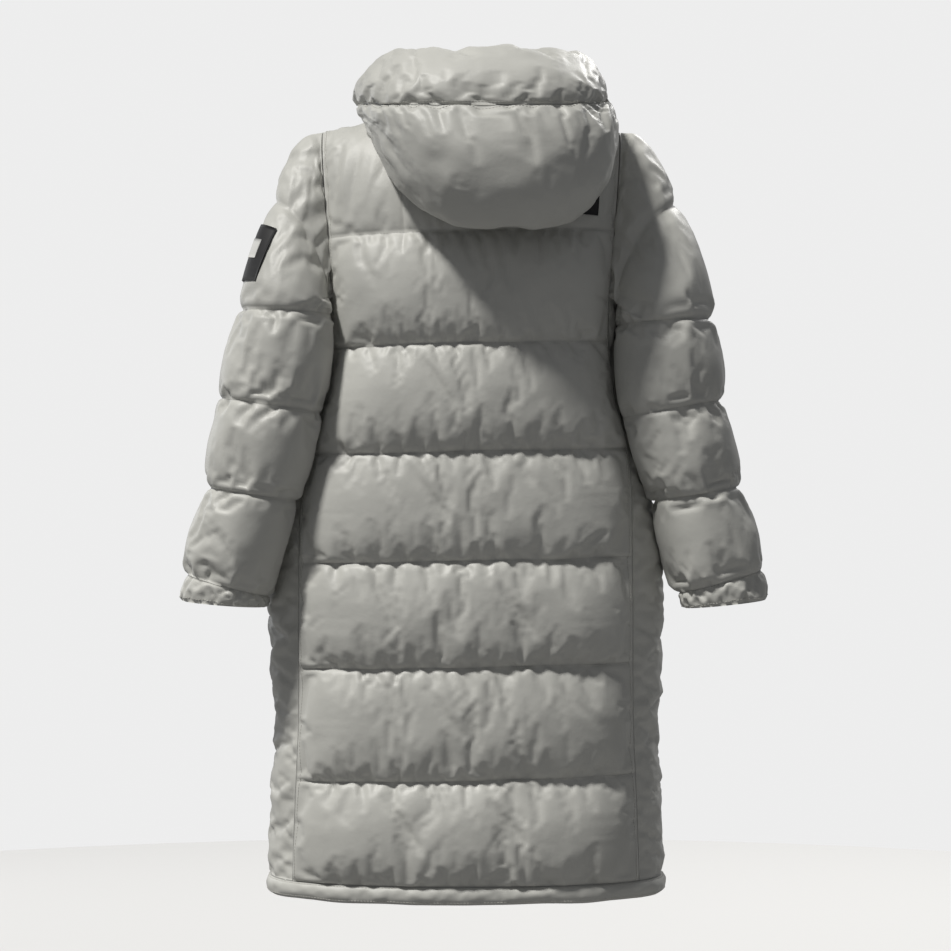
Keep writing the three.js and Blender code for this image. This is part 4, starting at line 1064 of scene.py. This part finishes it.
def zip_tapes(line, normal):
    """Two woven tapes with a ribbed face, for the small metal teeth that zip_teeth sets between them."""
    made = []
    for name, hand in HANDS.items():
        across = np.linspace(hand * EDGE_INSET, hand * (ZIP_HALF_GAP - SEAM_GAP), 7)
        aside = points(across, 0 * across, 0 * across)
        shape = lambda height: line[:, None] + normal[:, None] * height + aside
        ribs = 0.2 * np.cos(np.linspace(0, 4 * np.pi, 7))[None, :, None]
        face = shape(TAPE_OUTER + ribs)
        made.append((add_wall(f"zip_tape_{name}", face, shape(TAPE_INNER), TAPE, stride=1), face))
    return made


def boxes(name, centre, right, up, out, size, material):
    """Many small blocks with cut corners, from arrays of places and directions, as one mesh."""
    signs = np.array([(x, y, z) for z in (-1, 1) for x, y in ((-1, -1), (1, -1), (1, 1), (-1, 1))], float)
    taper = np.where(signs[:, 2:] > 0, 0.7, 1.0)
    offset = signs * np.array(size) / 2 * np.concatenate([taper, taper, np.ones_like(taper)], axis=1)
    verts = (centre[:, None] + offset[None, :, :1] * right[:, None] + offset[None, :, 1:2] * up[:, None]
             + offset[None, :, 2:] * out[:, None])
    faces = np.array([(0, 3, 2, 1), (4, 5, 6, 7), (0, 1, 5, 4), (1, 2, 6, 5), (2, 3, 7, 6), (3, 0, 4, 7)])
    quads = (np.arange(len(centre))[:, None, None] * 8 + faces[None]).reshape(-1, 4)
    piece = add_mesh(name, verts.reshape(-1, 3), quads, materials=[material])
    piece.data.polygons.foreach_set("use_smooth", np.zeros(len(quads), bool))
    return piece


def resample(path, step, values=None):
    """Points at equal distances along a path, or what its points' values are there."""
    run = lengths(path[:, None], 0)[:, 0]
    at = np.arange(step / 2, run[-1], step)
    source = path if values is None else values
    return np.stack([np.interp(at, run, source[:, k]) for k in range(3)], axis=-1)


def zip_teeth(line, normal):
    """Teeth in pairs, one for each tape in turn, along the closed zip."""
    centre = resample(line + normal * (TAPE_OUTER + TOOTH_LIFT), TOOTH_PITCH)
    along = unit(np.gradient(centre, axis=0))
    across = np.tile([1.0, 0, 0], (len(centre), 1))
    out = unit(np.cross(along, across))
    centre[:, 0] += np.where(np.arange(len(centre)) % 2, TOOTH_REACH, -TOOTH_REACH)
    return boxes("zip_teeth", centre, across, along, out, TOOTH_SIZE, METAL)


def stitches(paths, outs):
    """Short raised threads along seams, from paths of points and the way out at each point."""
    places, rights, ups, normals = [], [], [], []
    for path, out in zip(paths, outs):
        centre = resample(path, STITCH_PITCH)
        lift = unit(resample(path, STITCH_PITCH, out))
        along = unit(np.gradient(centre, axis=0))
        places.append(centre + lift * STITCH_LIFT)
        rights.append(unit(np.cross(along, lift)))
        ups.append(along)
        normals.append(lift)
    return boxes("stitching", *map(np.concatenate, (places, rights, ups, normals)), STITCH_SIZE, THREAD)


def for_camera(tree, seen, other):
    """Colour that shows in the picture, where the light that bounces meets the other one."""
    path = tree.nodes.new("ShaderNodeLightPath")
    choice = tree.nodes.new("ShaderNodeMix")
    choice.data_type = "RGBA"
    set_inputs(choice, A=(*other, 1), B=(*seen, 1))
    tree.links.new(path.outputs["Is Camera Ray"], choice.inputs["Factor"])
    return choice.outputs["Result"]


def lamp(name, kind, place, power, size, colour, aim=(0, 0, -0.4)):
    """Soft lamp at a place, turned to its aim."""
    light = bpy.data.lights.new(name, kind)
    light.energy = power
    light.color = colour
    if kind == "SUN":
        light.angle = size
    else:
        light.shape = "DISK"
        light.size = size
    holder = bpy.data.objects.new(name, light)
    holder.location = place
    holder.rotation_euler = (Vector(place) - Vector(aim)).to_track_quat("Z", "Y").to_euler()
    bpy.context.scene.collection.objects.link(holder)


def studio():
    """Pale round floor under a pale sky, a high key light, two lamps for the front, and the camera."""
    turn = np.linspace(0, 2 * np.pi, FLOOR_SIDES, endpoint=False)
    radius = np.array([0.001, FLOOR_RADIUS])[:, None] / MM
    disc = points(radius * np.cos(turn), radius * np.sin(turn), FLOOR_Z / MM)
    material, tree, shader = new_material("pale_floor")
    set_inputs(shader, Roughness=0.9, Specular_IOR_Level=0.1)
    tree.links.new(for_camera(tree, FLOOR_SEEN, FLOOR_BOUNCE), shader.inputs["Base Color"])
    quads = grid_quads(2, FLOOR_SIDES, 0, True)[:, ::-1]
    floor = add_mesh("floor", disc.reshape(-1, 3), quads, materials=[material])

    world = bpy.data.worlds.new("studio")
    bpy.context.scene.world = world
    world.use_nodes = True
    tree = world.node_tree
    tree.links.new(for_camera(tree, SKY_SEEN, SKY_LIGHT), tree.nodes["Background"].inputs["Color"])

    lamp("key", "SUN", KEY_FROM, power=3.3, size=math.radians(7), colour=(1, 0.985, 0.95), aim=(0, 0, 0))
    lamp("front_key", "AREA", (-1.7, -2.6, 2.1), power=70, size=1.3, colour=(1, 0.99, 0.97))
    lamp("front_fill", "AREA", (2.4, -2.2, 0.2), power=14, size=1.6, colour=(0.97, 0.98, 1))
    bpy.context.scene.view_settings.view_transform = "Standard"

    camera = bpy.data.cameras.new("camera")
    camera.angle = 2 * math.atan(FRAME_WIDTH / 2 / CAMERA_PLACE[1])
    holder = bpy.data.objects.new("camera", camera)
    holder.location = CAMERA_PLACE
    holder.rotation_euler = (math.pi / 2, 0, math.pi)
    bpy.context.scene.collection.objects.link(holder)
    bpy.context.scene.camera = holder


def seam_paths(panels, sleeves, hem_outer, hood_outer, cross_row):
    """Paths of the stitching and the ways out along them: edges, quilting seams, hem, cuffs, hood."""
    paths, outs = [], []

    def along(grid, normal, rows, columns=()):
        """Stitching along whole columns and rows of a grid."""
        for source, lines in ((grid, paths), (normal, outs)):
            lines.extend(source[:, column] for column in columns)
            lines.extend(source[row] for row in rows)

    for outer, seam_rows, side in panels:
        along(outer, normals_of(outer, way=(0, side, 0)), seam_rows[:-1], (2, -3))
    for outer, seam_rows, hand in sleeves:
        normal = normals_of(outer, around=True, way=(hand, 0, 0))
        along(outer, normal, (*seam_rows[1:-1], len(outer) - 3))
    along(hem_outer, backward_normals(hem_outer, HEM_ROWS // 2), (1, -3))
    normal = backward_normals(hood_outer, -HOOD_ROW_STEPS * 3)
    along(hood_outer, normal, (cross_row - 2, cross_row + 2, len(hood_outer) - 4))
    return paths, outs


def coat():
    """Every piece of the coat, hung on the coat's body in place of the imported part of its name."""
    made, panels, sleeves = {}, [], []
    for name, side, shares, seed in PANELS:
        made[name], outer, seam_rows = quilted_panel(name, side, shares, seed)
        panels.append((outer, seam_rows, side))
    for number, (name, hand) in enumerate(HANDS.items()):
        made[f"side_{name}"] = side_panel(f"side_{name}", hand, 21 + 50 * number)
        made[f"sleeve_{name}"], made[f"cuff_{name}"], outer, seam_rows = sleeve(name, 1211 + 400 * number)
        sleeves.append((outer, seam_rows, hand))
    made["hem_band"], hem_outer = hem_band()
    hood_pieces, lining_face, hood_outer, cross_row = hood()
    made.update(hood_pieces)
    line, normal = zip_line()
    (made["zip_tape_left"], left_face), (made["zip_tape_right"], right_face) = zip_tapes(line, normal)
    made["zip_teeth"] = zip_teeth(line, normal)
    made["sleeve_patch"], sleeve_face, patch_normal = patch("sleeve_patch", sleeves[0][0], True)
    made["sleeve_patch_bar"] = pale_bar(sleeve_face, patch_normal)
    made["yoke_patch"], yoke_face, _ = patch("yoke_patch", panels[0][0])
    made["stitching"] = stitches(*seam_paths(panels, sleeves, hem_outer, hood_outer, cross_row))
    for name, piece in made.items():
        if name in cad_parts:
            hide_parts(name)
            piece.name = f"{name}_cloth"
        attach(piece, "coat")


studio()
coat()
for node in ("zip_slider", "zip_pull"):
    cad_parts[node].data.materials.clear()
    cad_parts[node].data.materials.append(METAL)
